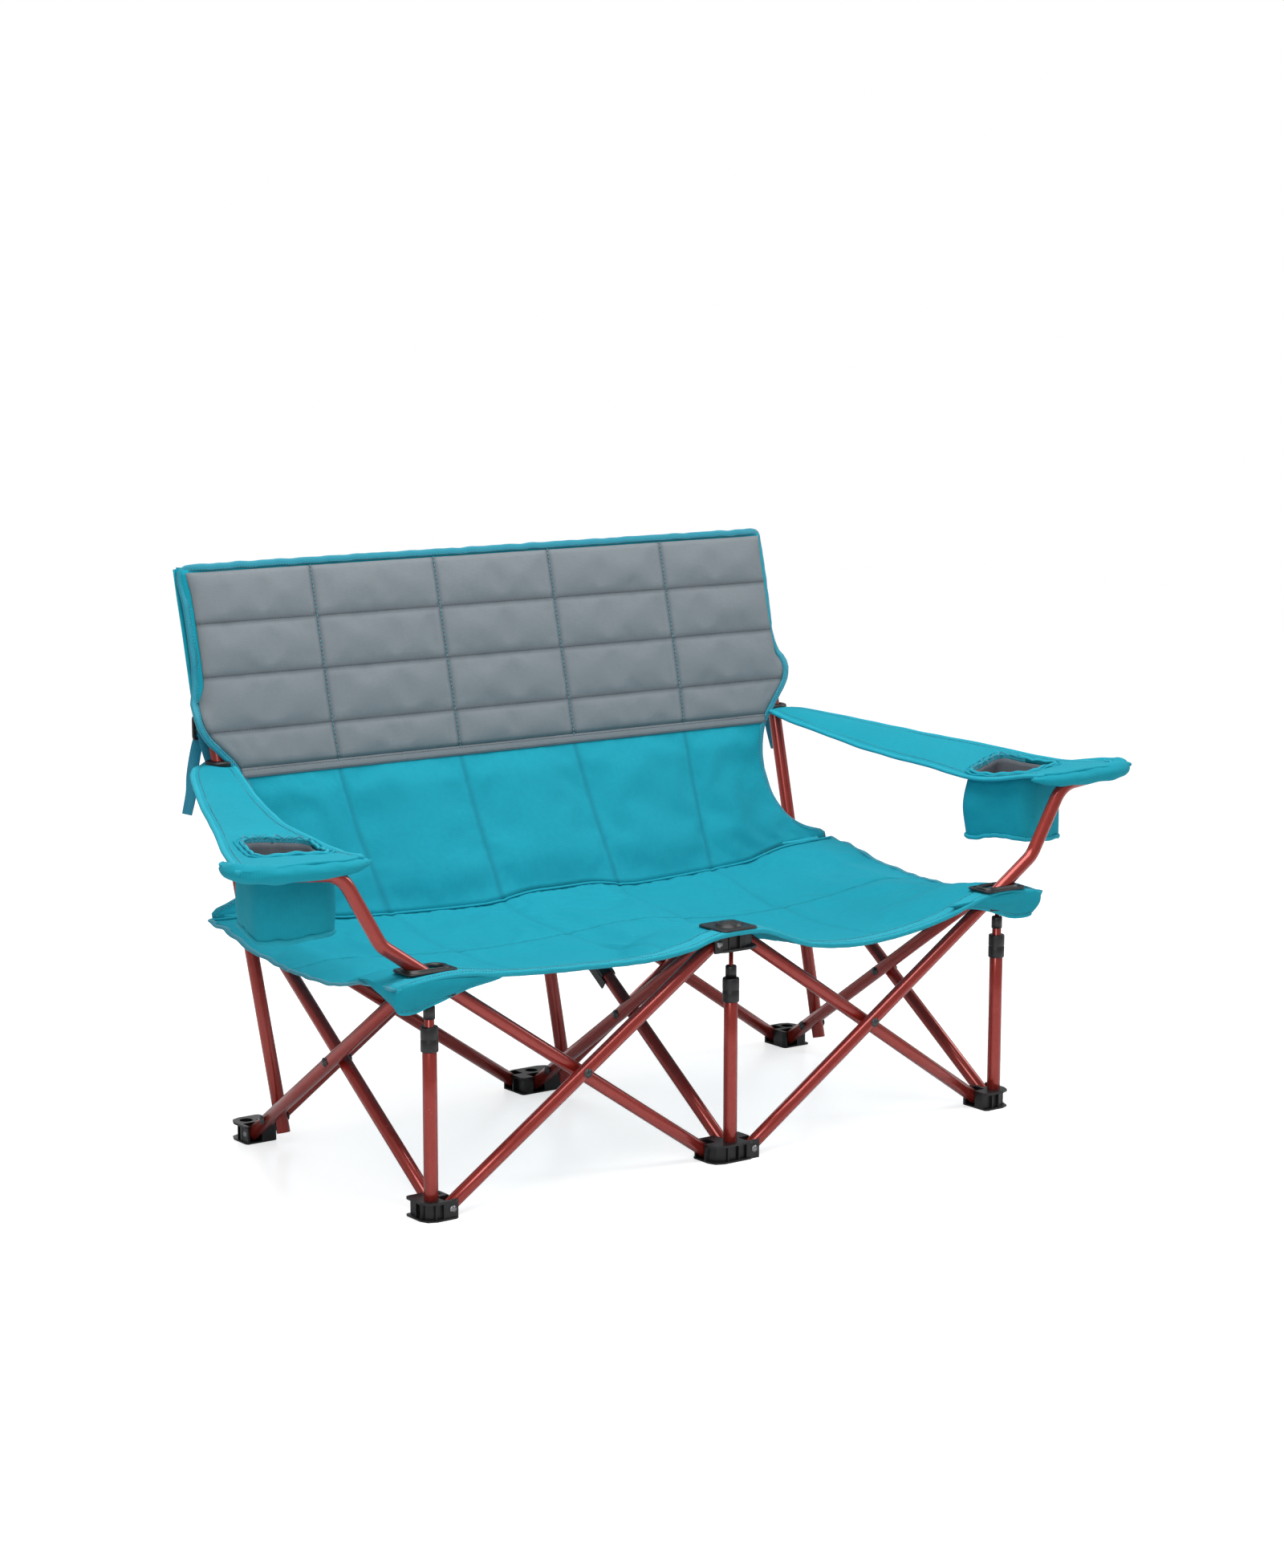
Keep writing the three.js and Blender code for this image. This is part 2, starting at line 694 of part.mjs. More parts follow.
// Room above a corner hub's pivot for the arm tube to swing from its slope to nearly upright
function armPassage(tube) {
  const room = tubeRadius + channelSidePlay;
  const length = 2 * shoeHeight + cutOverrun;
  const outward = tube.heading;
  const point = (angle, side, distance) => {
    const x = Math.cos(angle) * distance + Math.sin(angle) * side * room;
    const z = Math.sin(angle) * distance - Math.cos(angle) * side * room;
    return [tube.hubPivot.x + outward * x, hubPivotHeight + z];
  };
  const outline = [
    point(openAngle, 1, 0),
    point(openAngle, 1, length),
    point(foldedAngle, -1, length),
    point(foldedAngle, -1, 0),
  ];
  return standingPrism(outline, tube.plane - channelWidth / 2, tube.plane + channelWidth / 2);
}

// Front post: outer tube in the foot, collar on it, mid rod with its cap, thin rod up into the hub
function makePost(column) {
  const x = column * (bayWidth + postOffset);
  const y = frontRow - (column === 0 ? centrePostOffset : postOffset);
  const at = (z) => new THREE.Vector3(x, y, z);
  const name = placeName(-1, column);
  const capTop = column === 0 ? centreCapTop : cornerCapTop;
  const midRadius = midRodDiameter / 2;
  const rodRadius = rodDiameter / 2;
  const lip = midRadius + fit;
  const skirtBore = tubeRadius + fit;
  const groove = (collarBottom + collarTop) / 2;
  const outer = hollowTube(at(soleThickness + fit), at(postTop), tubeRadius, tubeRadius - postWall);
  const collar = turned(
    [
      [skirtBore, collarBottom],
      [collarRadius, collarBottom],
      [collarRadius, groove - collarGrooveDepth],
      [collarRadius - collarGrooveDepth, groove],
      [collarRadius, groove + collarGrooveDepth],
      [collarRadius, collarTop - collarGrooveDepth],
      [collarRadius - collarGrooveDepth, collarTop],
      [lip, collarTop],
      [lip, postTop + fit],
      [skirtBore, postTop + fit],
      [skirtBore, collarBottom],
    ],
    x,
    y,
  );
  const capFoot = capTop - capHeight;
  const sleeve = hollowTube(at(midRodBottom), at(capFoot + midRodWall), midRadius, midRadius - midRodWall);
  const cap = turned(
    [
      [rodRadius + fit, capFoot],
      [capRadius, capFoot],
      [capRadius, capTop - collarGrooveDepth],
      [capRadius - collarGrooveDepth, capTop],
      [rodRadius + fit, capTop],
      [rodRadius + fit, capFoot],
    ],
    x,
    y,
  );
  place(`post_outer_${name}`, outer, redPaint);
  place(`post_collar_${name}`, collar, blackPlastic);
  place(`post_mid_rod_${name}`, join(sleeve, cap), redPaint);
  place(`post_thin_rod_${name}`, rod(at(rodBottom), at(hubBottom + rodSeatDepth - fit), rodRadius), redPaint);
}

// Upright with its pin, which runs on through the side tube
function makeUpright(column) {
  const { at, foot } = uprights[column + 1];
  const shell = hollowTube(at(uprightPinZ - uprightTail), at(uprightTop), tubeRadius, tubeRadius - tubeWall);
  const tubeFace = column * bayWidth - tubePlane - tubeRadius - fit;
  const pinAt = (x) => new THREE.Vector3(x, uprightPinY, uprightPinZ);
  const farFace = foot + tubeRadius;
  return join(
    shell,
    rod(pinAt(tubeFace - rivetHeadHeight), pinAt(farFace + rivetHeadHeight), rivetRadius),
    rod(pinAt(tubeFace - rivetHeadHeight), pinAt(tubeFace), rivetHeadRadius),
    rod(pinAt(farFace - tubeWall), pinAt(farFace + rivetHeadHeight), rivetHeadRadius),
  );
}

// Plastic guide on the middle side tube: a sleeve and two cheeks that hang along the tube
function makeTubeGuide(tube) {
  const run = tube.hubPivot.clone().sub(tube.footPivot).normalize();
  const at = (along) => tube.footPivot.clone().addScaledVector(run, guidePlace + along);
  const bore = tubeRadius + fit;
  const shell = hollowTube(at(-guideLength / 2), at(guideLength / 2), bore + guideWall, bore);
  const slope = Math.atan2(crossRise, pivotReach) * tube.heading;
  const centre = at(0);
  const cheeks = [-1, 1].map((side) => {
    const geometry = new THREE.BoxGeometry(guideCheekThickness, guideCheekLength, guideCheekDepth);
    geometry.translate(side * (bore + guideCheekThickness / 2), 0, -guideCheekDepth / 2);
    geometry.rotateX(slope);
    geometry.translate(centre.x, centre.y, centre.z);
    return solidOf(geometry);
  });
  const past = guideCheekLength;
  return cut(join(shell, ...cheeks), rod(at(-past), at(past), bore, tubeSides));
}

// Seat: height of the cloth's middle surface at a place
function hubNearness(x, y) {
  const distances = columns.flatMap((column) =>
    rows.map((row) => {
      const acrossX = Math.abs(x - column * bayWidth) - crossInset(column) - shoePivotMargin;
      const acrossY = Math.abs(y - rowY(row)) - depthPivotInset - shoePivotMargin;
      return Math.max(acrossX, acrossY);
    }),
  );
  return smooth(Math.min(...distances) / hubBlend);
}

function junctionY(x) {
  const share = x / seatHalfWidth;
  return backRow - seatJunctionReach + (seatJunctionReach - seatCornerJunctionReach) * share * share;
}

function seatHeight(x, y) {
  const front = frontRow - seatFrontReach;
  const depth = (y - front) / (junctionY(x) - front);
  const bay = Math.sin((Math.PI * x) / bayWidth) ** 2;
  const share = Math.abs(x) / seatHalfWidth;
  const outside = smooth((Math.abs(x) - bayWidth) / (seatHalfWidth - bayWidth));
  const hollow = seatSag * bay + edgeSag * (1 - bay);
  const sag = frontSag * bay * (1 - depth) + hollow * Math.sin(Math.PI * depth);
  const drop = (junctionDrop - junctionRise * share ** 4) * depth * depth;
  return seatLevel - hubNearness(x, y) * (sag + drop + sideDroop * outside);
}

function seatSheet(from, to, lineShares) {
  const xs = [...seatLineShares.slice(1).reverse().map((share) => -share), ...seatLineShares];
  const grid = (offset) =>
    lineShares.map((share) =>
      xs.map((xShare) => {
        const x = xShare * seatHalfWidth;
        const y = from(x) + (to(x) - from(x)) * share;
        return new THREE.Vector3(x, y, seatHeight(x, y) + offset);
      }),
    );
  return sheet(grid(clothThickness / 2), grid(-clothThickness / 2));
}

function armSlot(tube, play) {
  const side = tube.heading;
  const hubX = side * tube.hubPivot.x;
  const above = seatLevel + clothThickness / 2 + fit + plateThickness;
  const outer = hubX + (above - hubPivotHeight) / (crossRise / pivotReach) + tubeRadius / tubeSin;
  const inner = hubX - tubeRadius;
  const [x0, x1] = [side * (inner - play), side * (outer + play)].sort((a, b) => a - b);
  const half = tubeRadius + play;
  return { x0, x1, y0: tube.plane - half, y1: tube.plane + half };
}

function slotTool(slot) {
  const outline = evenRectangle(slot.x0, slot.x1, slot.y0, slot.y1, slotCornerRadius);
  return prism(outline, hubBottom, hubTop + shoeHeight);
}

const armTubes = crossTubes.filter((tube) => tube.isArm);

function makeSeatFront() {
  const front = frontRow - seatFrontReach;
  const body = seatSheet(
    () => front,
    () => seatSplit - fit,
    seatFrontLineShares,
  );
  const skirts = [-1, 1].map((side) => {
    const middle = side * (seatHalfWidth - skirtHalfWidth);
    const top = seatLevel;
    const outline = [
      [middle - skirtHalfWidth, top - clothThickness],
      [middle, top - skirtDrop],
      [middle + skirtHalfWidth, top - sideDroop],
      [middle, top],
    ];
    return standingPrism(outline, front, front + clothThickness);
  });
  return cut(join(body, ...skirts), ...armTubes.map((tube) => slotTool(armSlot(tube, plateSlotPlay))));
}

function makeSeatRear() {
  const body = seatSheet(() => seatSplit, junctionY, seatRearLineShares);
  const half = clothThickness / 2;
  const tabs = [-1, 1].map((column) => {
    const middle = column * bayWidth;
    const near = backRow - seatCornerJunctionReach - tabReach;
    const far = backRow + tabReach;
    const outline = evenRectangle(middle - tabHalfWidth, middle + tabHalfWidth, near, far, shoeLobeRadius);
    return prism(outline, seatLevel - half, seatLevel + half);
  });
  const holes = columns.map((column) => uprightCore(column, hubBottom, hubTop + shoeHeight, tubeRadius + fit));
  return cut(join(body, ...tabs), ...holes);
}

function makeCornerPlate(tube) {
  const slot = armSlot(tube, plateSlotPlay);
  const middle = (slot.x0 + slot.x1) / 2;
  const low = seatLevel + clothThickness / 2 + fit;
  const [halfLength, halfWidth] = [plateLength / 2, plateWidth / 2];
  const outline = evenRectangle(
    middle - halfLength,
    middle + halfLength,
    tube.plane - halfWidth,
    tube.plane + halfWidth,
    plateCornerRadius,
  );
  return cut(prism(outline, low, low + plateThickness), slotTool(slot));
}

function makeCentrePlate() {
  const low = seatLevel + clothThickness / 2 + fit;
  const half = centrePlateSize / 2;
  const outline = evenRectangle(-half, half, frontRow - half, frontRow + half, plateCornerRadius);
  const top = low + plateThickness;
  const dome = turned(
    [
      [0, low],
      [domeRadius, low],
      [domeRadius, top + domeHeight / 2],
      [domeRadius / 2, top + domeHeight],
      [0, top + domeHeight],
    ],
    0,
    frontRow,
  );
  return join(prism(outline, low, top), dome);
}

// Back: the sling's front and back surface over a grid
function leanY(z) {
  return uprightPinY + uprightSlope * (z - uprightPinZ);
}

function backHalf(z) {
  const foot = seatLevel - junctionDrop;
  return backHalfWidth * between(backOutlineShares, (z - foot) / (slingTop - foot));
}

function slingY(share, z) {
  const stand = (tubeRadius + 2 * fit) * Math.hypot(1, uprightSlope) + clothThickness / 2;
  const foot = seatLevel - junctionDrop;
  const low = Math.max((slingLeave - z) / (slingLeave - foot), 0);
  return leanY(z) - stand - lowerBackBow * low * (1 - lowerBackEdgeShare * share * share);
}

function makeBackSling() {
  const footX = (share) => share * seatHalfWidth;
  const lowest = seatLevel - junctionDrop;
  const grid = (offset) =>
    backLineShares.map((rise, index) =>
      backColumnShares.map((share) => {
        const foot = seatHeight(footX(share), junctionY(footX(share))) + clothThickness / 2 + junctionGap;
        const z = index === 0 ? foot : lowest + (slingTop - lowest) * rise;
        const x = index === 0 ? footX(share) : share * backHalf(z);
        return new THREE.Vector3(x, slingY(share, z) + offset, z);
      }),
    );
  const body = sheet(grid(-clothThickness / 2), grid(clothThickness / 2));
  const bore = tubeRadius + fit;
  const sleeves = columns.map((column) => uprightCore(column, sleeveBottom, sleeveTop, bore + sleeveWall));
  const bores = columns.map((column) => uprightCore(column, sleeveBottom - cutOverrun, uprightTop + fit, bore));
  return cut(join(body, ...sleeves), ...bores);
}

// Quilted pad in front of the sling, swelling between its seams
function makeBackPad() {
  const refined = (shares, steps) =>
    shares.slice(1).flatMap((share, index) => {
      const low = shares[index];
      return Array.from({ length: steps }, (_, step) => [low + ((share - low) * step) / steps, step / steps]);
    });
  const across = [...refined(padColumnShares, padColumnSteps), [1, 0]];
  const up = [...refined(padRowShares, padRowSteps), [1, 0]];
  const padTop = slingTop - padMargin;
  const rear = clothThickness / 2 + fit;
  const grid = (thick) =>
    up.map(([rise, inRow]) =>
      across.map(([share, inColumn]) => {
        const z = padBottom + (padTop - padBottom) * rise;
        const x = share * (backHalf(z) - padMargin);
        const swell = Math.sqrt(Math.sin(Math.PI * inRow) * Math.sin(Math.PI * inColumn));
        const front = thick ? padBase + padCrown * swell : 0;
        return new THREE.Vector3(x, slingY(x / backHalf(z), z) - rear - front, z);
      }),
    );
  return sheet(grid(true), grid(false));
}

// Armrests
function armrestHeight(y, sleeveY) {
  const share = (y - sleeveY) / (grommetDepth - sleeveY);
  const sag = armrestSag * Math.sin(Math.PI * Math.min(Math.max(share, 0), 1));
  return armrestFrontHeight + (grommetHeight - armrestFrontHeight) * share - sag;
}

function makeArmrest(tube) {
  const side = tube.heading;
  const grid = (offset) =>
    armrestOutlineShares.map(([along, inner, outer]) => {
      const y = tube.plane + along * (grommetDepth - tube.plane);
      const z = armrestHeight(y, tube.plane) + offset;
      return armrestColumnShares.map((width) => {
        const x = grommetHalfSpan + (inner + (outer - inner) * width) * (armEndX - grommetHalfSpan);
        return new THREE.Vector3(side * x, y, z);
      });
    });
  const [over, under] = [armrestThickness / 2, -armrestThickness / 2];
  const body = side > 0 ? sheet(grid(over), grid(under)) : sheet(grid(under), grid(over));
  const stations = armStations(tube, 0);
  const last = stations[stations.length - 1];
  const run = last.clone().sub(stations[stations.length - 2]).normalize();
  const sleeveStart = last.clone().addScaledVector(run, -armSleeveLength);
  const sleeveEnd = last.clone().addScaledVector(run, fit + sleeveWall);
  const column = side;
  return cut(
    join(body, rod(sleeveStart, sleeveEnd, sleeveRadius, tubeSides)),
    bentRod(armStations(tube, fit), tubeRadius + fit),
    uprightCore(column, grommetHeight - shoeHeight, grommetHeight + shoeHeight, grommetRadius),
    cupTool(tube, cupMouthWidth, cupMouthDepth, armrestFrontHeight - shoeHeight, grommetHeight),
  );
}

function cupTool(tube, width, depth, low, high) {
  const x = tube.heading * cupHalfSpan;
  const y = tube.plane + cupReach;
  const outline = evenRectangle(x - width / 2, x + width / 2, y - depth / 2, y + depth / 2, cupCornerRadius);
  return prism(outline, low, high);
}

function makeCupHolder(tube) {
  const rim = armrestHeight(tube.plane + cupReach, tube.plane) - armrestThickness / 2 - cupRimDrop;
  const outer = cupTool(tube, cupWidth, cupDepth, cupBottom, rim);
  const [width, depth] = [cupWidth - 2 * cupWall, cupDepth - 2 * cupWall];
  return cut(outer, cupTool(tube, width, depth, cupBottom + cupWall, rim + cutOverrun));
}

// The whole chair
for (const row of rows) {
  for (const column of columns) {
    place(`foot_${placeName(row, column)}`, makeShoe(false, row, column), blackPlastic);
    place(`hub_${placeName(row, column)}`, makeShoe(true, row, column), blackPlastic);
  }
}
for (const tube of crossTubes) {
  place(tube.name, makeCrossTube(tube), redPaint);
}
for (const tube of crossTubes.filter((each) => each.heading > 0)) {
  place(tube.name.replace("tube", "cross_rivet"), makeCrossRivet(tube), darkSteel);
}
for (const column of columns) {
  makePost(column);
  place(`upright_${["left", "centre", "right"][column + 1]}`, makeUpright(column), redPaint);
}
const guidedTube = crossTubes.find((tube) => tube.footAt === "front_centre" && tube.isDepthwise);
place("tube_guide", makeTubeGuide(guidedTube), blackPlastic);
for (const tube of armTubes) {
  const side = tube.heading < 0 ? "left" : "right";
  place(`seat_plate_${side}`, makeCornerPlate(tube), blackPlastic);
  place(`armrest_${side}`, makeArmrest(tube), tealCloth);
  place(`cup_holder_${side}`, makeCupHolder(tube), tealCloth);
}
place("seat_plate_centre", makeCentrePlate(), blackPlastic);
place("seat_front", makeSeatFront(), tealCloth);
place("seat_rear", makeSeatRear(), tealCloth);
place("back_sling", makeBackSling(), tealCloth);
place("back_pad", makeBackPad(), greyCloth);

// The origin is under the middle of the chair's outline
const box = new THREE.Box3().setFromObject(loveseat);
const middle = box.getCenter(new THREE.Vector3());
loveseat.position.set(-middle.x, -middle.y, -box.min.z);

export default loveseat;
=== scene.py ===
import json
import math

import bmesh
import bpy
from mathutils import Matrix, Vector, noise

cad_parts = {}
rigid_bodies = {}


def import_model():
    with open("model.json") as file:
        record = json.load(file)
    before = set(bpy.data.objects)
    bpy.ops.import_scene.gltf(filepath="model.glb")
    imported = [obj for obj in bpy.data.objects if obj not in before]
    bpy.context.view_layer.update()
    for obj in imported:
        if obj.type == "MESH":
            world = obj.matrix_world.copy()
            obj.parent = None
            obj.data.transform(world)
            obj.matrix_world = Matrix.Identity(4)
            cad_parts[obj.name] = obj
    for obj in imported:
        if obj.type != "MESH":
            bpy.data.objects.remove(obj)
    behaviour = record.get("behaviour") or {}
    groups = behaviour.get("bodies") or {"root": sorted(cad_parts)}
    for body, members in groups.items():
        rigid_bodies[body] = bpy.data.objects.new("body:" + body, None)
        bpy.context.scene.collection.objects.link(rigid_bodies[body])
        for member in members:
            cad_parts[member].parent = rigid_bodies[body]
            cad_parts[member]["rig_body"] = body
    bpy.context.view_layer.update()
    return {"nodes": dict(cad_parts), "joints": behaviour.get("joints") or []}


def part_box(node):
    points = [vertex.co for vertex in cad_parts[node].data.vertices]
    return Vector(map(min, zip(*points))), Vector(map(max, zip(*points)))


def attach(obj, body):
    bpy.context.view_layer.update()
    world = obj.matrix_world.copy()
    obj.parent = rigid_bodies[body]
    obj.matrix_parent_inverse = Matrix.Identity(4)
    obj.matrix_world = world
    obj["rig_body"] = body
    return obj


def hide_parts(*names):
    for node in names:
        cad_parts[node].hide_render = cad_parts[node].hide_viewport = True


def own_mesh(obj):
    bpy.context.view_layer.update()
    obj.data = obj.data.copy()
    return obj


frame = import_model()
mm = 0.001
scene = bpy.context.scene
pivots = {joint["name"]: Vector(joint["pos_m"]) for joint in frame["joints"] if "pos_m" in joint}


# Small helpers

def bodyOf(node):
    return frame["nodes"][node]["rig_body"]


def centreOf(node):
    low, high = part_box(node)
    return (low + high) / 2


def smoothStep(share):
    held = min(max(share, 0.0), 1.0)
    return held * held * (3 - 2 * held)


def mix(a, b, share):
    return a + (b - a) * share


def curveThrough(table, place):
    # a smooth value from a table of pairs
    last = len(table) - 1
    if place <= table[0][0]:
        return table[0][1]
    if place >= table[last][0]:
        return table[last][1]
    i = max(k for k in range(last) if table[k][0] <= place)
    before, (x0, y0), (x1, y1), after = table[max(i - 1, 0)], table[i], table[i + 1], table[min(i + 2, last)]
    slope0 = (y1 - before[1]) / (x1 - before[0])
    slope1 = (after[1] - y0) / (after[0] - x0)
    t = (place - x0) / (x1 - x0)
    width = x1 - x0
    hold = 2 * t ** 3 - 3 * t ** 2 + 1
    return (hold * y0 + (1 - hold) * y1 + (t ** 3 - 2 * t ** 2 + t) * width * slope0
            + (t ** 3 - t ** 2) * width * slope1)


def smoothPath(points, count):
    # a rounded route through a few points, with a count of steps between two of them
    path = []
    last = len(points) - 1
    for i in range(last):
        a, b, c, d = points[max(i - 1, 0)], points[i], points[i + 1], points[min(i + 2, last)]
        for k in range(count):
            t = k / count
            path.append(0.5 * (2 * b + (c - a) * t + (2 * a - 5 * b + 4 * c - d) * t * t
                               + (3 * b - a - 3 * c + d) * t ** 3))
    return path + [points[-1]]


def runningLength(points):
    lengths = [0.0]
    for before, after in zip(points, points[1:]):
        lengths.append(lengths[-1] + (after - before).length)
    return lengths


def gridMesh(rows, around=False, capped=False):
    # rows of points become faces with a weave map in metres
    count = len(rows[0])
    middle = list(rows[len(rows) // 2])
    across = runningLength(middle + middle[:1] if around else middle)
    down = runningLength([row[len(row) // 2] for row in rows])
    points = [tuple(point) for row in rows for point in row]
    faces, corners = [], []
    for i in range(len(rows) - 1):
        for j in range(count if around else count - 1):
            k = (j + 1) % count
            faces.append((i * count + j, i * count + k, (i + 1) * count + k, (i + 1) * count + j))
            corners += [(across[j], down[i]), (across[j + 1], down[i]),
                        (across[j + 1], down[i + 1]), (across[j], down[i + 1])]
    if capped:
        for i in (0, len(rows) - 1):
            points.append(tuple(sum(rows[i], Vector()) / count))
            for j in range(count):
                k = (j + 1) % count
                faces.append((len(points) - 1, i * count + j, i * count + k))
                corners += [(across[j], down[i]), (across[j], down[i]), (across[j + 1], down[i])]
    mesh = bpy.data.meshes.new("piece")
    mesh.from_pydata(points, [], faces)
    mesh.uv_layers.new(name="weave").data.foreach_set("uv", [value for corner in corners for value in corner])
    mesh.polygons.foreach_set("use_smooth", [True] * len(faces))
    return mesh


def reshape(mesh, edit):
    # changes the faces of a mesh
    shape = bmesh.new()
    shape.from_mesh(mesh)
    edit(shape)
    shape.to_mesh(mesh)
    shape.free()
    return mesh


def turnOutwards(mesh):
    return reshape(mesh, lambda shape: bmesh.ops.recalc_face_normals(shape, faces=shape.faces))


def closedLoops(rows):
    # loops that run on into the first one again
    mesh = gridMesh(rows + rows[:1], around=True)
    reshape(mesh, lambda shape: bmesh.ops.remove_doubles(shape, verts=shape.verts, dist=0.001 * mm))
    return turnOutwards(mesh)


def pathFrames(path, up, closed=False):
    # at each point of a path: its run, its lift and its side
    frames = []
    lift = Vector(up)
    last = len(path) - 1
    for i in range(len(path)):
        before = path[i - 1] if i or closed else path[0]
        after = path[(i + 1) % len(path)] if i < last or closed else path[last]
        run = (after - before).normalized()
        lift = (lift - run * lift.dot(run)).normalized()
        frames.append((run, lift, lift.cross(run)))
    return frames


def sweepMesh(path, section, up=(0, 0, 1), scales=None, lifts=None, closed=False):
    # a section of (side, lift) pairs drawn along a path
    rows = []
    for i, (run, lift, side) in enumerate(pathFrames(path, up, closed)):
        if lifts:
            lift = (lifts[i] - run * lifts[i].dot(run)).normalized()
            side = lift.cross(run)
        scale = scales[i] if scales else 1
        rows.append([path[i] + (side * a + lift * b) * scale for a, b in section])
    if closed:
        return closedLoops(rows)
    return turnOutwards(gridMesh(rows, around=True, capped=True))


def circle(radius, count):
    return [(radius * math.cos(2 * math.pi * i / count), radius * math.sin(2 * math.pi * i / count))
            for i in range(count)]


def oval(halfWidth, halfHeight, count=16):
    return [(halfWidth * a, halfHeight * b) for a, b in circle(1, count)]


def roundedLoop(halfX, halfY, radius, count):
    # evenly spaced points of a rounded rectangle, from the middle of its right side
    straightX, straightY, arc = halfX - radius, halfY - radius, math.pi * radius / 2
    stretches = [straightY, arc, 2 * straightX, arc, 2 * straightY, arc, 2 * straightX, arc, straightY]
    corners = [(straightX, straightY), (-straightX, straightY),
               (-straightX, -straightY), (straightX, -straightY)]
    sides = [((halfX, 0), (0, 1)), ((straightX, halfY), (-1, 0)), ((-halfX, straightY), (0, -1)),
             ((-straightX, -halfY), (1, 0)), ((halfX, -straightY), (0, 1))]
    points = []
    for i in range(count):
        rest, k = i * sum(stretches) / count, 0
        while rest > stretches[k]:
            rest -= stretches[k]
            k += 1
        if k % 2:
            x, y = corners[k // 2]
            angle = (k // 2) * math.pi / 2 + rest / radius
            points.append((x + radius * math.cos(angle), y + radius * math.sin(angle)))
        else:
            (x, y), (dx, dy) = sides[k // 2]
            points.append((x + dx * rest, y + dy * rest))
    return points


def turnedRows(profile, centre, axis, sides):
    # a profile of (radius, height) pairs turned round an axis
    axis = Vector(axis).normalized()
    first = axis.orthogonal().normalized()
    second = axis.cross(first)
    return [[centre + axis * height + (first * a + second * b) * radius for a, b in circle(1, sides)]
            for radius, height in profile]


def turned(profile, centre, axis=(0, 0, 1), sides=32):
    # the ends of the profile are its poles
    return turnOutwards(gridMesh(turnedRows(profile, centre, axis, sides), around=True, capped=True))


def ringMesh(profile, centre, axis=(0, 0, 1), sides=32):
    # a closed profile, with a hole through it
    return closedLoops(turnedRows(profile, centre, axis, sides))


# Materials

def colour(hexCode):
    channels = [int(hexCode[i:i + 2], 16) / 255 for i in (1, 3, 5)]
    return [c / 12.92 if c <= 0.04045 else ((c + 0.055) / 1.055) ** 2.4 for c in channels] + [1]


def addNode(tree, kind, inputs=None, **settings):
    node = tree.nodes.new(kind)
    for name, value in settings.items():
        setattr(node, name, value)
    for name, value in (inputs or {}).items():
        if isinstance(value, bpy.types.NodeSocket):
            tree.links.new(value, node.inputs[name])
        else:
            node.inputs[name].default_value = value
    return node


def newMaterial(name, values):
    material = bpy.data.materials.new(name)
    material.use_nodes = True
    shader = material.node_tree.nodes["Principled BSDF"]
    for socket, value in values.items():
        shader.inputs[socket].default_value = value
    return material, material.node_tree, shader


def blendColours(tree, share, first, second):
    node = addNode(tree, "ShaderNodeMix", data_type="RGBA")
    tree.links.new(share, node.inputs["Factor"])
    for socket, value in (("A", first), ("B", second)):
        target = next(each for each in node.inputs if each.name == socket and each.type == "RGBA")
        if isinstance(value, bpy.types.NodeSocket):
            tree.links.new(value, target)
        else:
            target.default_value = value
    return next(each for each in node.outputs if each.type == "RGBA")


def objectNoise(tree, size, detail=3):
    place = addNode(tree, "ShaderNodeTexCoord").outputs["Object"]
    grain = addNode(tree, "ShaderNodeTexNoise", {"Vector": place, "Scale": 1 / size, "Detail": detail})
    return grain.outputs["Fac"]


def bands(tree, weave, pitch, direction):
    # even ridges across a weave map
    wave = addNode(tree, "ShaderNodeTexWave", {"Vector": weave, "Scale": math.pi / 10 / pitch},
                   bands_direction=direction)
    return wave.outputs["Fac"]


def addMaths(tree, operation, first, second):
    return addNode(tree, "ShaderNodeMath", {0: first, 1: second}, operation=operation).outputs["Value"]


def remap(tree, value, limits):
    return addNode(tree, "ShaderNodeMapRange", {"Value": value, **limits}).outputs["Result"]


def addBump(tree, shader, height, depth):
    bump = addNode(tree, "ShaderNodeBump", {"Height": height, "Distance": depth, "Strength": 1.0})
    tree.links.new(bump.outputs["Normal"], shader.inputs["Normal"])


def powderCoatedSteel():
    # drawn steel tube under a thin glossy red coat: narrow highlights and a faint orange peel
    look = {"base": "#AB372D", "deep": "#9A2B22", "grain": 9 * mm, "peel": 1.6 * mm, "peelDepth": 0.03 * mm,
            "roughness": {"To Min": 0.2, "To Max": 0.3}}
    material, tree, shader = newMaterial("powder_coated_steel", {
        "Metallic": 0.42, "Roughness": 0.24, "Coat Weight": 0.6, "Coat Roughness": 0.12})
    tint = objectNoise(tree, look["grain"])
    tone = blendColours(tree, tint, colour(look["deep"]), colour(look["base"]))
    tree.links.new(tone, shader.inputs["Base Color"])
    tree.links.new(remap(tree, tint, look["roughness"]), shader.inputs["Roughness"])
    addBump(tree, shader, objectNoise(tree, look["peel"]), look["peelDepth"])
    return material


def mouldedNylon():
    # glass-filled black nylon: matt, with the fine spark texture of the mould and paler worn edges
    look = {"base": "#161618", "worn": "#29292C", "wear": 14 * mm,
            "wearSpread": {"From Min": 0.45, "From Max": 0.8},
            "spark": 0.8 * mm, "sparkDetail": 5, "sparkDepth": 0.05 * mm,
            "roughness": {"To Min": 0.3, "To Max": 0.46}}
    material, tree, shader = newMaterial("moulded_nylon", {"Roughness": 0.45, "IOR": 1.53})
    spark = objectNoise(tree, look["spark"], look["sparkDetail"])
    share = remap(tree, objectNoise(tree, look["wear"]), look["wearSpread"])
    tone = blendColours(tree, share, colour(look["base"]), colour(look["worn"]))
    tree.links.new(tone, shader.inputs["Base Color"])
    tree.links.new(remap(tree, spark, look["roughness"]), shader.inputs["Roughness"])
    addBump(tree, shader, spark, look["sparkDepth"])
    return material


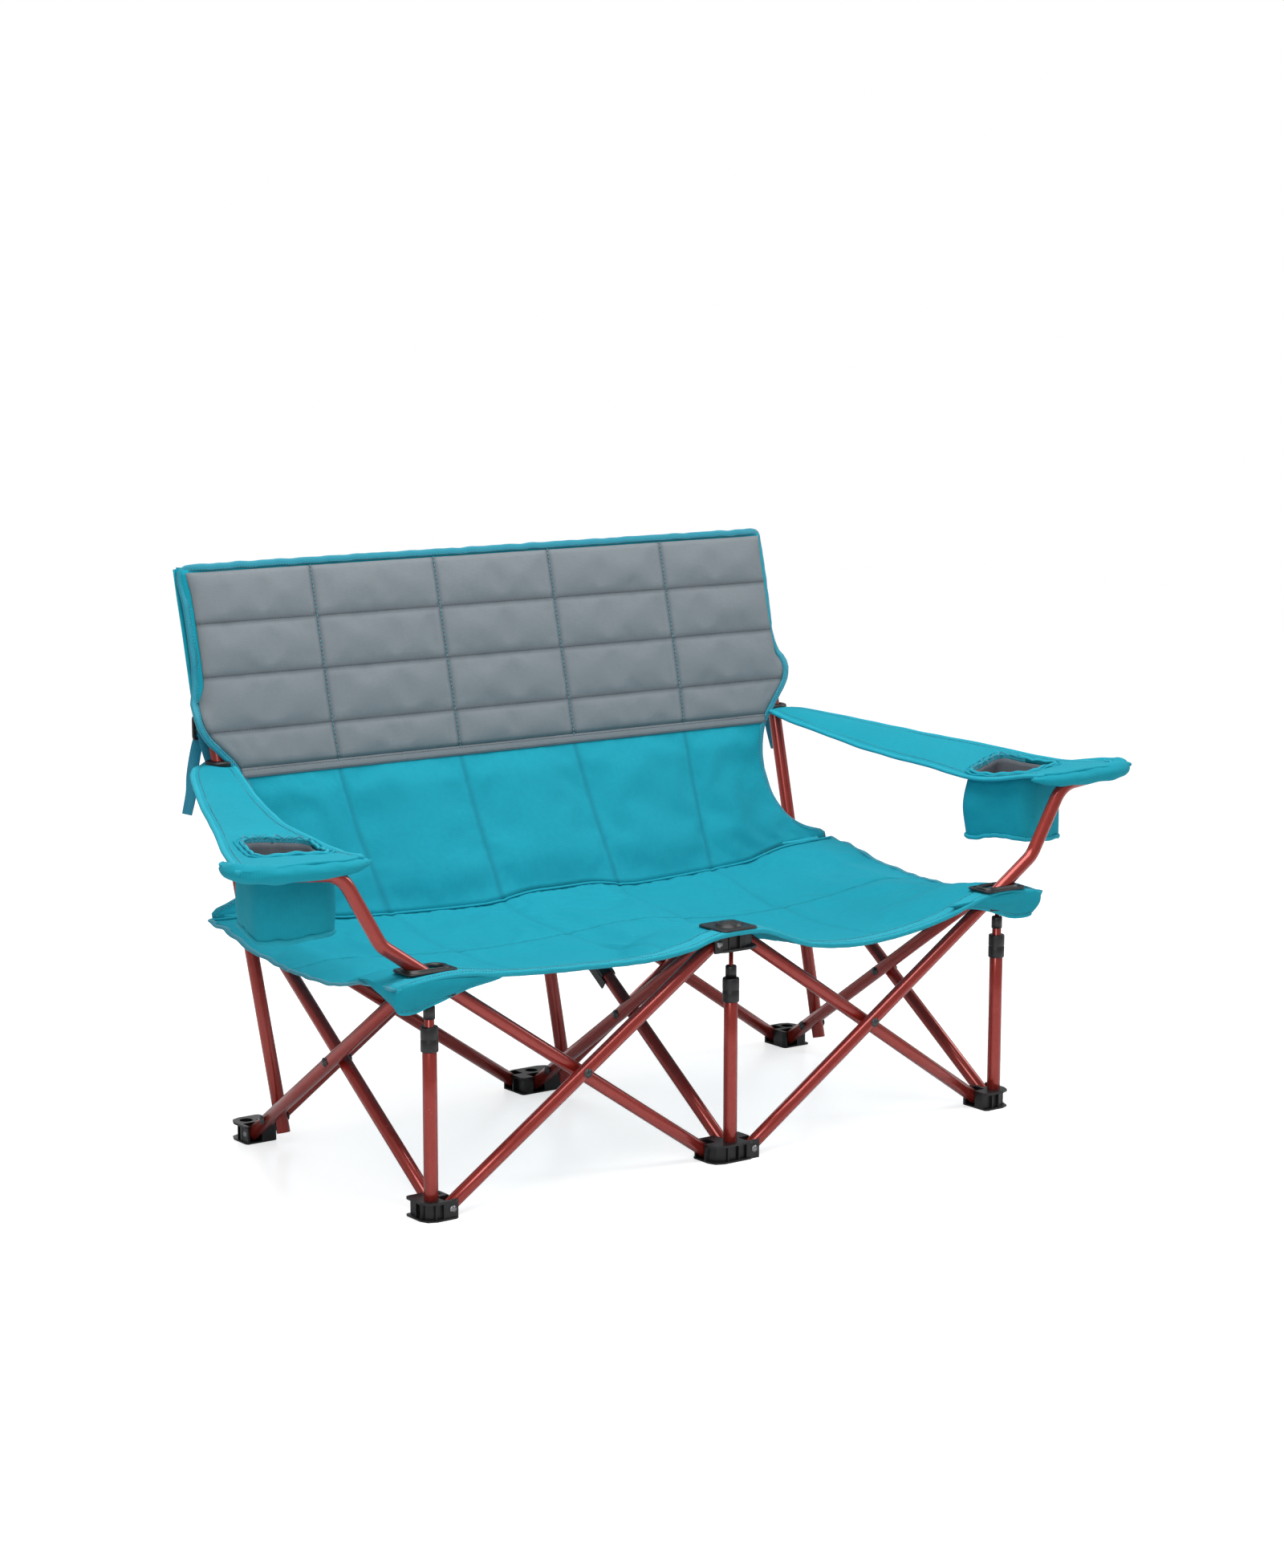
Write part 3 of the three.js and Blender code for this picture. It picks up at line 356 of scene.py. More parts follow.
def rivetSteel(name, base, rough):
    # headed steel rivet: brushed by the tool that set it
    look = {"worn": "#6A6A6C", "grain": 0.7 * mm, "detail": 4, "depth": 0.02 * mm}
    material, tree, shader = newMaterial(name, {"Metallic": 1.0, "Roughness": rough})
    grain = objectNoise(tree, look["grain"], look["detail"])
    tone = blendColours(tree, grain, colour(base), colour(look["worn"]))
    tree.links.new(tone, shader.inputs["Base Color"])
    addBump(tree, shader, grain, look["depth"])
    return material


def wovenPolyester(name, base, deep, light, shade="#0A5E74", thread=1.7 * mm, depth=0.12 * mm, puff=0.14):
    # plain weave of a 600 denier yarn: matt, a little fuzzy at grazing angles, faintly mottled
    # the real yarn spacing is about 0.5 mm, drawn three times as coarse so that it shows
    look = {"slubLength": 5 * thread, "slubDetail": 5.0, "patch": 90 * mm, "patchDetail": 2,
            "mottle": {"From Min": 0.12, "From Max": 0.42}, "yarnShare": 0.22, "seamShare": 0.75}
    material, tree, shader = newMaterial(name, {
        "Roughness": 0.82, "Sheen Weight": puff, "Sheen Roughness": 0.5, "Sheen Tint": colour(light),
        "Specular IOR Level": 0.25})
    weave = addNode(tree, "ShaderNodeUVMap", uv_map="weave").outputs["UV"]
    height = addMaths(tree, "MULTIPLY", bands(tree, weave, thread, "X"), bands(tree, weave, thread, "Y"))
    slub = addNode(tree, "ShaderNodeTexNoise", {"Vector": weave, "Scale": 1 / look["slubLength"],
                                                "Detail": look["slubDetail"]}).outputs["Fac"]
    patches = objectNoise(tree, look["patch"], look["patchDetail"])
    mottle = remap(tree, addMaths(tree, "MULTIPLY", slub, patches), look["mottle"])
    body = blendColours(tree, mottle, colour(deep), colour(base))
    plain = blendColours(tree, addMaths(tree, "MULTIPLY", height, look["yarnShare"]), body, colour(light))
    # cloth lies in its own shade where a seam pulls it in
    seam = addNode(tree, "ShaderNodeAttribute", attribute_name="seam").outputs["Fac"]
    shaded = blendColours(tree, addMaths(tree, "MULTIPLY", seam, look["seamShare"]), plain, colour(shade))
    tree.links.new(shaded, shader.inputs["Base Color"])
    addBump(tree, shader, addMaths(tree, "ADD", height, slub), depth)
    return material


def webbing(name, base, deep, rib=2.2 * mm):
    # narrow woven tape: close ribs across its width, slightly shiny
    material, tree, shader = newMaterial(name, {"Roughness": 0.62, "Sheen Weight": 0.25})
    weave = addNode(tree, "ShaderNodeUVMap", uv_map="weave").outputs["UV"]
    ribs = bands(tree, weave, rib, "DIAGONAL")
    tree.links.new(blendColours(tree, ribs, colour(deep), colour(base)), shader.inputs["Base Color"])
    addBump(tree, shader, ribs, 0.2 * mm)
    return material


redSteel = powderCoatedSteel()
nylon = mouldedNylon()
darkRivet = rivetSteel("blackened_rivet_steel", "#3B3B3D", 0.4)
paleRivet = rivetSteel("zinc_plated_rivet_steel", "#B8B8BA", 0.28)
tealCloth = wovenPolyester("teal_woven_polyester", "#0C9CB1", "#0A95AA", "#3AB4C7")
# the same teal cloth for the folded hems, rims and edges, drawn lighter: a painted highlight on these edges
litHemCloth = wovenPolyester("teal_folded_hem", "#23AABF", "#1BA1B7", "#55C0D0")
greyCloth = wovenPolyester("grey_brushed_polyester", "#7E868B", "#7A8287", "#9BA2A6", "#3F474E", 1.5 * mm)
liningCloth = wovenPolyester("grey_coated_lining", "#6B7077", "#5E636A", "#9AA0A6", "#33373B",
                             thread=2 * mm, depth=0.2 * mm, puff=0.1)
bindingTape = webbing("teal_binding_tape", "#0F98AE", "#0C8399")
strapTape = webbing("teal_strap_webbing", "#1A93B0", "#0F7590")
tealThread = webbing("teal_bonded_thread", "#4FB9CC", "#2E93A8", 0.9 * mm)
greyThread = webbing("grey_bonded_thread", "#6E7A84", "#58636D", 0.9 * mm)


# Pieces

def addPiece(name, mesh, material, body, replaced=()):
    piece = bpy.data.objects.new(name, mesh)
    scene.collection.objects.link(piece)
    mesh.name = name
    mesh.materials.clear()
    mesh.materials.append(material)
    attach(piece, body)
    if replaced:
        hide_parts(*replaced)
    return piece


def markSeamShade(mesh, shares):
    # how deep each point lies in a seam, for the painted seam shade in the cloth's colour
    mesh.attributes.new("seam", "FLOAT", "POINT").data.foreach_set("value", shares)


def thicken(piece, thickness):
    solid = piece.modifiers.new("thickness", "SOLIDIFY")
    solid.thickness = thickness
    solid.offset = 0


def addCloth(name, mesh, material, body, thickness, replaced=()):
    piece = addPiece(name, mesh, material, body, replaced)
    thicken(piece, thickness)
    return piece


def shownShape(holder):
    # the shown shape of a helper object as a plain mesh
    graph = bpy.context.evaluated_depsgraph_get()
    mesh = bpy.data.meshes.new_from_object(holder.evaluated_get(graph))
    bpy.data.objects.remove(holder)
    mesh.polygons.foreach_set("use_smooth", [True] * len(mesh.polygons))
    return mesh


def nodeHolder(name, mesh, tree, values):
    # a helper object with one Geometry Nodes modifier and its sizes
    holder = bpy.data.objects.new(name + "_holder", mesh)
    scene.collection.objects.link(holder)
    modifier = holder.modifiers.new("build", "NODES")
    modifier.node_group = tree
    sockets = {item.name: item.identifier for item in tree.interface.items_tree if item.in_out == "INPUT"}
    for socket, value in values.items():
        modifier[sockets[socket]] = value
    return holder


def newNodeTree(name, sizes):
    tree = bpy.data.node_groups.new(name, "GeometryNodeTree")
    tree.interface.new_socket("Geometry", in_out="INPUT", socket_type="NodeSocketGeometry")
    for size, value in sizes.items():
        socket = tree.interface.new_socket(size, in_out="INPUT", socket_type="NodeSocketFloat")
        socket.default_value = value
    tree.interface.new_socket("Geometry", in_out="OUTPUT", socket_type="NodeSocketGeometry")
    return tree, addNode(tree, "NodeGroupInput"), addNode(tree, "NodeGroupOutput")


def finishTree(tree, output, geometry, material):
    real = addNode(tree, "GeometryNodeRealizeInstances", {"Geometry": geometry}).outputs["Geometry"]
    dressed = addNode(tree, "GeometryNodeSetMaterial", {"Geometry": real, "Material": material})
    tree.links.new(dressed.outputs["Geometry"], output.inputs["Geometry"])
    return tree


def stretchedBall(tree, segments, rings, sizes):
    ball = addNode(tree, "GeometryNodeMeshUVSphere", {"Segments": segments, "Rings": rings, "Radius": 1.0})
    scale = addNode(tree, "ShaderNodeCombineXYZ", dict(enumerate(sizes))).outputs["Vector"]
    shape = addNode(tree, "GeometryNodeTransform", {"Geometry": ball.outputs["Mesh"], "Scale": scale})
    return shape.outputs["Geometry"]


def copiesOn(tree, points, shape, direction, axis):
    # one copy of a shape on each point, its axis turned to the point's direction
    turn = addNode(tree, "FunctionNodeAlignRotationToVector", {"Vector": direction}, axis=axis)
    copies = addNode(tree, "GeometryNodeInstanceOnPoints", {
        "Points": points, "Instance": shape, "Rotation": turn.outputs["Rotation"]})
    return copies.outputs["Instances"]


def rivetTree(material):
    # a domed head on a washer at each point, facing the way that the point's outward attribute says
    head = {"radius": 4.6 * mm, "height": 2.2 * mm, "washer": 0.8 * mm, "washerShare": 1.35}
    tree, sizes, output = newNodeTree("rivetHeads_" + material.name,
                                      {"Head radius": head["radius"], "Head height": head["height"]})
    radius = sizes.outputs["Head radius"]
    dome = stretchedBall(tree, 16, 8, (radius, radius, sizes.outputs["Head height"]))
    rim = addMaths(tree, "MULTIPLY", radius, head["washerShare"])
    washer = addNode(tree, "GeometryNodeMeshCylinder", {
        "Vertices": 20, "Radius": rim, "Depth": head["washer"]})
    both = addNode(tree, "GeometryNodeJoinGeometry")
    tree.links.new(dome, both.inputs["Geometry"])
    tree.links.new(washer.outputs["Mesh"], both.inputs["Geometry"])
    named = addNode(tree, "GeometryNodeInputNamedAttribute", {"Name": "outward"}, data_type="FLOAT_VECTOR")
    facing = named.outputs["Attribute"]
    heads = copiesOn(tree, sizes.outputs["Geometry"], both.outputs["Geometry"], facing, "Z")
    return finishTree(tree, output, heads, material)


def stitchTree(material):
    # short rounded stitches along the edges of a mesh
    tree, sizes, output = newNodeTree("stitchRow_" + material.name, {
        "Pitch": 4.5 * mm, "Stitch length": 3.4 * mm, "Thread radius": 0.6 * mm})
    route = addNode(tree, "GeometryNodeMeshToCurve", {"Mesh": sizes.outputs["Geometry"]})
    spaced = addNode(tree, "GeometryNodeResampleCurve", {
        "Curve": route.outputs["Curve"], "Length": sizes.outputs["Pitch"]}, mode="LENGTH")
    thread = sizes.outputs["Thread radius"]
    halfLength = addMaths(tree, "MULTIPLY", sizes.outputs["Stitch length"], 0.5)
    stitch = stretchedBall(tree, 6, 4, (halfLength, thread, thread))
    along = addNode(tree, "GeometryNodeInputTangent").outputs["Tangent"]
    row = copiesOn(tree, spaced.outputs["Curve"], stitch, along, "X")
    return finishTree(tree, output, row, material)


rivetTrees = {material.name: rivetTree(material) for material in (darkRivet, paleRivet)}
stitchTrees = {material.name: stitchTree(material) for material in (tealThread, greyThread)}


def rivetHeads(name, places, material, body, radius, height, replaced=()):
    # places are (point, outward direction) pairs
    points = bpy.data.meshes.new(name + "_points")
    points.from_pydata([tuple(point) for point, _ in places], [], [])
    outward = points.attributes.new("outward", "FLOAT_VECTOR", "POINT")
    outward.data.foreach_set("vector", [value for _, direction in places for value in direction])
    holder = nodeHolder(name, points, rivetTrees[material.name],
                        {"Head radius": radius, "Head height": height})
    return addPiece(name, shownShape(holder), material, body, replaced)


def stitches(name, paths, material, body, pitch=4.5 * mm, radius=0.6 * mm):
    points, edges = [], []
    for path in paths:
        start = len(points)
        points += [tuple(point) for point in path]
        edges += [(start + i, start + i + 1) for i in range(len(path) - 1)]
    lines = bpy.data.meshes.new(name + "_lines")
    lines.from_pydata(points, edges, [])
    holder = nodeHolder(name, lines, stitchTrees[material.name],
                        {"Pitch": pitch, "Stitch length": 0.75 * pitch, "Thread radius": radius})
    mesh = shownShape(holder)
    mesh.uv_layers.new(name="weave")
    return addPiece(name, mesh, material, body)


# Camera, floor and light

def addCamera():
    view = {"place": (-2.691, -3.781, 1.246), "tilt": 0.182, "turn": -0.6251, "lens": 75.909,
            "shiftX": 0.00992, "shiftY": 0.04062}
    camera = bpy.data.cameras.new("photo_view")
    camera.sensor_fit = "AUTO"
    camera.sensor_width = 36
    camera.lens = view["lens"]
    camera.shift_x = view["shiftX"]
    camera.shift_y = view["shiftY"]
    holder = bpy.data.objects.new("photo_view", camera)
    holder.location = view["place"]
    holder.rotation_euler = (math.pi / 2 - view["tilt"], 0, view["turn"])
    scene.collection.objects.link(holder)
    scene.camera = holder


def addFloor():
    # a smooth pale sweep: white to the camera, still taking shadows and faint reflections
    floor = {"half": 6.0, "colour": "#F4F4F4", "glow": "#FFFFFF", "lift": 0.63}
    sides = (-floor["half"], floor["half"])
    mesh = gridMesh([[Vector((x, y, 0)) for x in sides] for y in sides])
    sheet = bpy.data.objects.new("floor", mesh)
    scene.collection.objects.link(sheet)
    material, tree, shader = newMaterial("pale_floor", {
        "Roughness": 0.24, "Base Color": colour(floor["colour"]), "Specular IOR Level": 0.4,
        "Emission Color": colour(floor["glow"])})
    seen = addNode(tree, "ShaderNodeLightPath").outputs["Is Camera Ray"]
    tree.links.new(addMaths(tree, "MULTIPLY", seen, floor["lift"]), shader.inputs["Emission Strength"])
    mesh.materials.append(material)


def addWorld():
    sky = {"colour": "#F5F5F5", "strength": 0.42, "seen": "#FFFFFF"}
    world = bpy.data.worlds.new("studio")
    scene.world = world
    world.use_nodes = True
    tree = world.node_tree
    soft = tree.nodes["Background"]
    soft.inputs["Color"].default_value = colour(sky["colour"])
    soft.inputs["Strength"].default_value = sky["strength"]
    white = addNode(tree, "ShaderNodeBackground", {"Color": colour(sky["seen"]), "Strength": 1.0})
    seen = addNode(tree, "ShaderNodeLightPath")
    share = addMaths(tree, "MAXIMUM", seen.outputs["Is Camera Ray"], seen.outputs["Is Transmission Ray"])
    both = addNode(tree, "ShaderNodeMixShader", {
        0: share, 1: soft.outputs["Background"], 2: white.outputs["Background"]})
    tree.links.new(both.outputs["Shader"], tree.nodes["World Output"].inputs["Surface"])


def addLamps():
    lamps = [
        {"name": "overhead", "place": (-0.2, -0.4, 2.6), "size": 1.9, "power": 48},
        {"name": "front_left", "place": (-2.4, -2.2, 1.9), "size": 1.1, "power": 20},
        {"name": "right_side", "place": (2.6, -0.6, 1.7), "size": 1.2, "power": 16},
        {"name": "behind", "place": (0.4, 2.6, 2.0), "size": 1.6, "power": 12},
    ]
    target = Vector((0, 0, 0.4))
    for each in lamps:
        lamp = bpy.data.lights.new(each["name"], "AREA")
        lamp.size = each["size"]
        lamp.energy = each["power"]
        holder = bpy.data.objects.new(each["name"], lamp)
        holder.location = each["place"]
        holder.rotation_euler = (target - Vector(each["place"])).to_track_quat("-Z", "Y").to_euler()
        scene.collection.objects.link(holder)


scene.view_settings.view_transform = "Standard"
addCamera()
addFloor()
addWorld()
addLamps()
print("stage: camera, floor and light", flush=True)


# Tubes

tubes = {"radius": 9.5 * mm, "wall": 1.2 * mm, "overrun": 5 * mm, "bore": 16 * mm, "boreShare": 0.9,
         "lip": 0.4 * mm, "sides": 28}
columnNames = ["left", "centre", "right"]
armSides = {"left": -1, "right": 1}


def hollowTube(name, node, path, radius=tubes["radius"], wall=tubes["wall"], up=(0, 1, 0.01)):
    # an open tube with rounded lips, in place of a solid
    frames = pathFrames(path, up)
    lip, inner = tubes["lip"], radius - wall
    bore = min(tubes["bore"], (path[1] - path[0]).length * tubes["boreShare"])

    def ring(i, size, shift):
        run, lift, side = frames[i]
        centre = path[i] + run * shift
        return [centre + side * a + lift * b for a, b in circle(size, tubes["sides"])]

    last = len(path) - 1
    rows = [ring(0, inner, bore), ring(0, inner, lip), ring(0, radius - lip, 0), ring(0, radius, lip)]
    rows += [ring(i, radius, 0) for i in range(1, last)]
    rows += [ring(last, radius, -lip), ring(last, radius - lip, 0), ring(last, inner, -lip)]
    rows += [ring(last, inner, -bore)]
    mesh = turnOutwards(gridMesh(rows, around=True, capped=True))
    return addPiece(name, mesh, redSteel, bodyOf(node), (node,))


def straightPath(start, end, count=3):
    return [start.lerp(end, i / count) for i in range(count + 1)]


crossHalf = pivots["front_left_crossing"] - pivots["front_left_foot_pivot"]
crossHalf.y = 0
crossRun = crossHalf.normalized()
crossReach = crossHalf.length


def crossDirection(node):
    # from the tube's foot up to its hub
    foot, hub = node.replace("tube_", "").split("_to_")
    column = columnNames.index(hub.split("_")[1]) - columnNames.index(foot.split("_")[1])
    row = (hub.split("_")[0] == "back") - (foot.split("_")[0] == "back")
    return Vector((column * crossRun.x, row * crossRun.x, crossRun.z))


def bend(before, corner, after, radius, count=14):
    back, on = (before - corner).normalized(), (after - corner).normalized()
    reach = radius / math.tan(back.angle(on) / 2)
    start, end = corner + back * reach, corner + on * reach
    shares = [i / count for i in range(count + 1)]
    return [start.lerp(corner, t).lerp(corner.lerp(end, t), t) for t in shares]


arm = {"lowerBend": 547 * mm, "upperBendX": 604 * mm, "upperBendZ": 464 * mm, "endX": 704 * mm,
       "endZ": 475 * mm, "bendRadius": 46 * mm, "start": 100 * mm, "tip": 20 * mm}
armPlanes = {side: centreOf(f"tube_front_centre_to_front_{side}").y for side in armSides}


def armPath(side):
    sign = armSides[side]
    hub = pivots[f"front_{side}_hub_pivot"]
    y = armPlanes[side]
    run = Vector((sign * crossRun.x, 0, crossRun.z))
    hubPoint = Vector((hub.x, y, hub.z))
    start = hubPoint - run * (2 * crossReach + tubes["overrun"])
    lower = hubPoint + run * ((arm["lowerBend"] - abs(hub.x)) / crossRun.x)
    upper = Vector((sign * arm["upperBendX"], y, arm["upperBendZ"]))
    end = Vector((sign * arm["endX"], y, arm["endZ"]))
    bends = bend(start, lower, upper, arm["bendRadius"]) + bend(lower, upper, end, arm["bendRadius"])
    return [start, start + run * arm["start"], *bends, end - (end - upper).normalized() * arm["tip"], end]


tubeNodes = sorted(node for node in frame["nodes"] if node.startswith("tube_") and "_to_" in node)
armNodes = {f"tube_front_centre_to_front_{side}": side for side in armSides}
for node in tubeNodes:
    if node in armNodes:
        path = armPath(armNodes[node])
    else:
        reach = crossDirection(node) * (crossReach + tubes["overrun"])
        path = straightPath(centreOf(node) - reach, centreOf(node) + reach)
    hollowTube("steel_" + node, node, path)

uprightSizes = {"slope": 0.25366, "top": 790 * mm, "topHalfSpan": 499 * mm, "tail": 22 * mm}


def uprightAt(column, z):
    pin = pivots[f"{columnNames[column + 1]}_upright_pin"]
    top = pin.x if column == 0 else column * uprightSizes["topHalfSpan"]
    rise = z - pin.z
    return Vector((pin.x + (top - pin.x) * rise / (uprightSizes["top"] - pin.z),
                   pin.y + uprightSizes["slope"] * rise, z))


for column, name in zip((-1, 0, 1), columnNames):
    foot = uprightAt(column, pivots[name + "_upright_pin"].z - uprightSizes["tail"])
    path = straightPath(foot, uprightAt(column, uprightSizes["top"]))
    hollowTube("steel_upright_" + name, "upright_" + name, path, up=(1, 0, 0.01))


def makePosts():
    post = {"outer": 9.5 * mm, "outerWall": 1.5 * mm, "outerBottom": 3 * mm, "outerTop": 240 * mm,
            "collar": [(9.8, 223), (11.1, 223), (11.6, 223.8), (11.6, 238.5), (10.9, 239.5), (11.6, 240.5),
                       (11.6, 254.6), (10.9, 256), (6.8, 256), (6.8, 240.4), (9.8, 240.4)],
            "mid": 6.5 * mm, "midWall": 1 * mm, "midBottom": 100 * mm, "midOverlap": 1 * mm,
            "capHeight": 17 * mm, "capRadius": 7.7 * mm, "capEdge": 1.2 * mm, "capPlay": 0.3 * mm,
            "rod": 3 * mm, "rodBottom": 130 * mm, "rodTop": 302.7 * mm, "rodEdge": 0.4 * mm}
    rod, edge = post["rod"], post["rodEdge"]
    thin = [(edge, post["rodBottom"]), (rod, post["rodBottom"] + edge), (rod, post["rodTop"]),
            (edge, post["rodTop"])]
    collar = [(radius * mm, z * mm) for radius, z in post["collar"]]
    for name in columnNames:
        outer, mid = "post_outer_front_" + name, "post_mid_rod_front_" + name
        middle = centreOf(outer)
        at = lambda z: Vector((middle.x, middle.y, z))
        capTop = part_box(mid)[1].z
        capFoot = capTop - post["capHeight"]
        path = straightPath(at(post["outerBottom"]), at(post["outerTop"]))
        hollowTube("steel_post_outer_" + name, outer, path, post["outer"], post["outerWall"])
        node = "post_collar_front_" + name
        addPiece("collar_" + name, ringMesh(collar, at(0)), nylon, bodyOf(node), (node,))
        path = straightPath(at(post["midBottom"]), at(capFoot + post["midOverlap"]))
        hollowTube("steel_mid_rod_" + name, mid, path, post["mid"], post["midWall"])
        bore = rod + post["capPlay"]
        cap = [(bore, capFoot), (post["capRadius"], capFoot), (post["capRadius"], capTop - post["capEdge"]),
               (post["capRadius"] - post["capEdge"], capTop), (bore, capTop)]
        addPiece("rod_cap_" + name, ringMesh(cap, at(0)), nylon, bodyOf(mid))
        node = "post_thin_rod_front_" + name
        addPiece("steel_thin_rod_" + name, turned(thin, at(0)), redSteel, bodyOf(node), (node,))


makePosts()
print("stage: tubes and posts", flush=True)


# Rivets

rivets = {"headRadius": 4.8 * mm, "headHeight": 2.3 * mm, "headSunk": 1.6 * mm, "pinRadius": 3.6 * mm,
          "pinHeight": 1.7 * mm, "wallReach": 12.9 * mm, "uprightOuter": 10 * mm, "uprightInner": 30.2 * mm}

for node in sorted(each for each in frame["nodes"] if each.startswith("cross_rivet_")):
    low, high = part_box(node)
    middle = (low + high) / 2
    axis = Vector((0, 1, 0)) if high.y - low.y > high.x - low.x else Vector((1, 0, 0))
    half = (high - low).dot(axis) / 2 - rivets["headSunk"]
    rivetHeads("set_" + node, [(middle + axis * half, axis), (middle - axis * half, -axis)], darkRivet,
               bodyOf(node), rivets["headRadius"], rivets["headHeight"], (node,))


def crossMiddle(node):
    # the crossing of an arm tube isn't the middle of its box
    if node not in armNodes:
        return centreOf(node)
    crossing = pivots[f"front_{armNodes[node]}_crossing"]
    return Vector((crossing.x, armPlanes[armNodes[node]], crossing.z))


def rowLine(shoe, point, sideways):
    # how far a point lies from its shoe's row or column line
    row, name = shoe.split("_")[1:]
    column = columnNames.index(name) - 1
    line = Vector((column * pivots["right_crossing"].x, pivots[f"{row}_left_crossing"].y, 0))
    return (point - line).dot(sideways)


def addPinHeads():
    # the outer heads of the pins that hold the tube ends in the feet and hubs
    groups = {}
    for node in tubeNodes:
        direction = crossDirection(node)
        sideways = Vector((1, 0, 0)) if abs(direction.y) > 0.1 else Vector((0, 1, 0))
        foot, hub = node.replace("tube_", "").split("_to_")
        for shoe, sign in (("foot_" + foot, -1), ("hub_" + hub, 1)):
            end = crossMiddle(node) + direction * (crossReach * sign)
            outward = sideways * math.copysign(1, rowLine(shoe, end, sideways))
            groups.setdefault(shoe, []).append((end + outward * rivets["wallReach"], outward))
    for shoe, places in sorted(groups.items()):
        rivetHeads("pins_" + shoe, places, paleRivet, bodyOf(shoe), rivets["pinRadius"], rivets["pinHeight"])


addPinHeads()
for name in columnNames:
    pin = pivots[name + "_upright_pin"]
    out = Vector((1, 0, 0))
    places = [(pin + out * rivets["uprightOuter"], out), (pin - out * rivets["uprightInner"], -out)]
    rivetHeads("pin_upright_" + name, places, darkRivet, bodyOf("upright_" + name),
               rivets["headRadius"], rivets["headHeight"])


# Moulded feet, hubs and guide keep their solids and get rounded edges

def roundEdges(node):
    edge = {"width": 0.7 * mm, "segments": 2, "angle": math.radians(38), "join": 0.01 * mm}
    shape = frame["nodes"][node]
    shape.data.materials.clear()
    shape.data.materials.append(nylon)
    weld = shape.modifiers.new("join", "WELD")
    weld.merge_threshold = edge["join"]
    bevel = shape.modifiers.new("rounded_edges", "BEVEL")
    bevel.width = edge["width"]
    bevel.segments = edge["segments"]
    bevel.limit_method = "ANGLE"
    bevel.angle_limit = edge["angle"]
    bevel.harden_normals = False


for node in sorted(frame["nodes"]):
    if node.startswith(("foot_", "hub_")) or node == "tube_guide":
        roundEdges(node)
print("stage: rivets and mouldings", flush=True)


# The cloth's common shapes

seat = {"halfWidth": 550 * mm, "frontReach": 29 * mm, "level": 323.5 * mm, "junctionReach": 76 * mm,
        "cornerJunctionReach": 20 * mm, "sag": 30 * mm, "edgeSag": 24 * mm, "sideDroop": 6 * mm,
        "hubBlend": 105 * mm, "junctionDrop": 18 * mm, "junctionRise": 24 * mm, "thickness": 2.2 * mm,
        "cell": 7 * mm, "depth": 270 * mm, "heldShare": 0.6, "hemFade": 40 * mm, "edgeFade": 1.4,
        # size and depth of its soft unevenness
        "uneven": (110 * mm, 1.2 * mm),
        "seams": [-285 * mm, -102 * mm, 102 * mm, 285 * mm], "seamWidth": 5 * mm, "seamDepth": 1.6 * mm,
        # how far the front edge hangs below the hubs' tops, left to right
        "frontDrop": [(-550, 9), (-505, 2), (-450, 0), (-405, 5), (-327, 11), (-248, 15), (-153, 18),
                      (-80, 12), (-40, 2), (0, 0), (40, 2), (75, 14), (121, 31), (200, 41), (281, 38),
                      (364, 25), (430, 7), (470, 0), (505, 2), (550, 9)]}
frontRow = pivots["front_left_crossing"].y
backRow = pivots["back_left_crossing"].y
seatSplit = (frontRow + backRow) / 2
seatFrontY = frontRow - seat["frontReach"]
bayWidth = pivots["right_crossing"].x
hubBoxes = [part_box(f"hub_{row}_{name}") for row in ("front", "back") for name in columnNames]


def millimetres(table):
    return [tuple(value * mm for value in entry) for entry in table]


frontDrop = millimetres(seat["frontDrop"])


def clearOfHubs(x, y):
    # 0 on a hub, 1 well away from all of them
    nearest = min(math.hypot(max(low.x - x, x - high.x, 0), max(low.y - y, y - high.y, 0))
                  for low, high in hubBoxes)
    return smoothStep(nearest / seat["hubBlend"])


def junctionY(x):
    share = x / seat["halfWidth"]
    return backRow - mix(seat["junctionReach"], seat["cornerJunctionReach"], share * share)


def seatHeight(x, y):
    depth = (y - seatFrontY) / (junctionY(x) - seatFrontY)
    share = abs(x) / seat["halfWidth"]
    bay = math.sin(math.pi * x / bayWidth) ** 2
    outside = smoothStep((abs(x) - bayWidth) / (seat["halfWidth"] - bayWidth))
    hollow = mix(seat["edgeSag"], seat["sag"], bay)
    drop = (seat["junctionDrop"] - seat["junctionRise"] * share ** 4) * depth * depth
    edge = curveThrough(frontDrop, x) * max(1 - depth, 0) ** seat["edgeFade"]
    inside = hollow * math.sin(math.pi * min(max(depth, 0), 1)) + drop + seat["sideDroop"] * outside * depth
    return seat["level"] - clearOfHubs(x, y) * inside - edge


def seamDip(place, seams, width, depth):
    return sum(depth * math.exp(-((place - seam) / width) ** 2) for seam in seams)


def steps(low, high, cell):
    count = max(2, round((high - low) / cell))
    return [mix(low, high, i / count) for i in range(count + 1)]


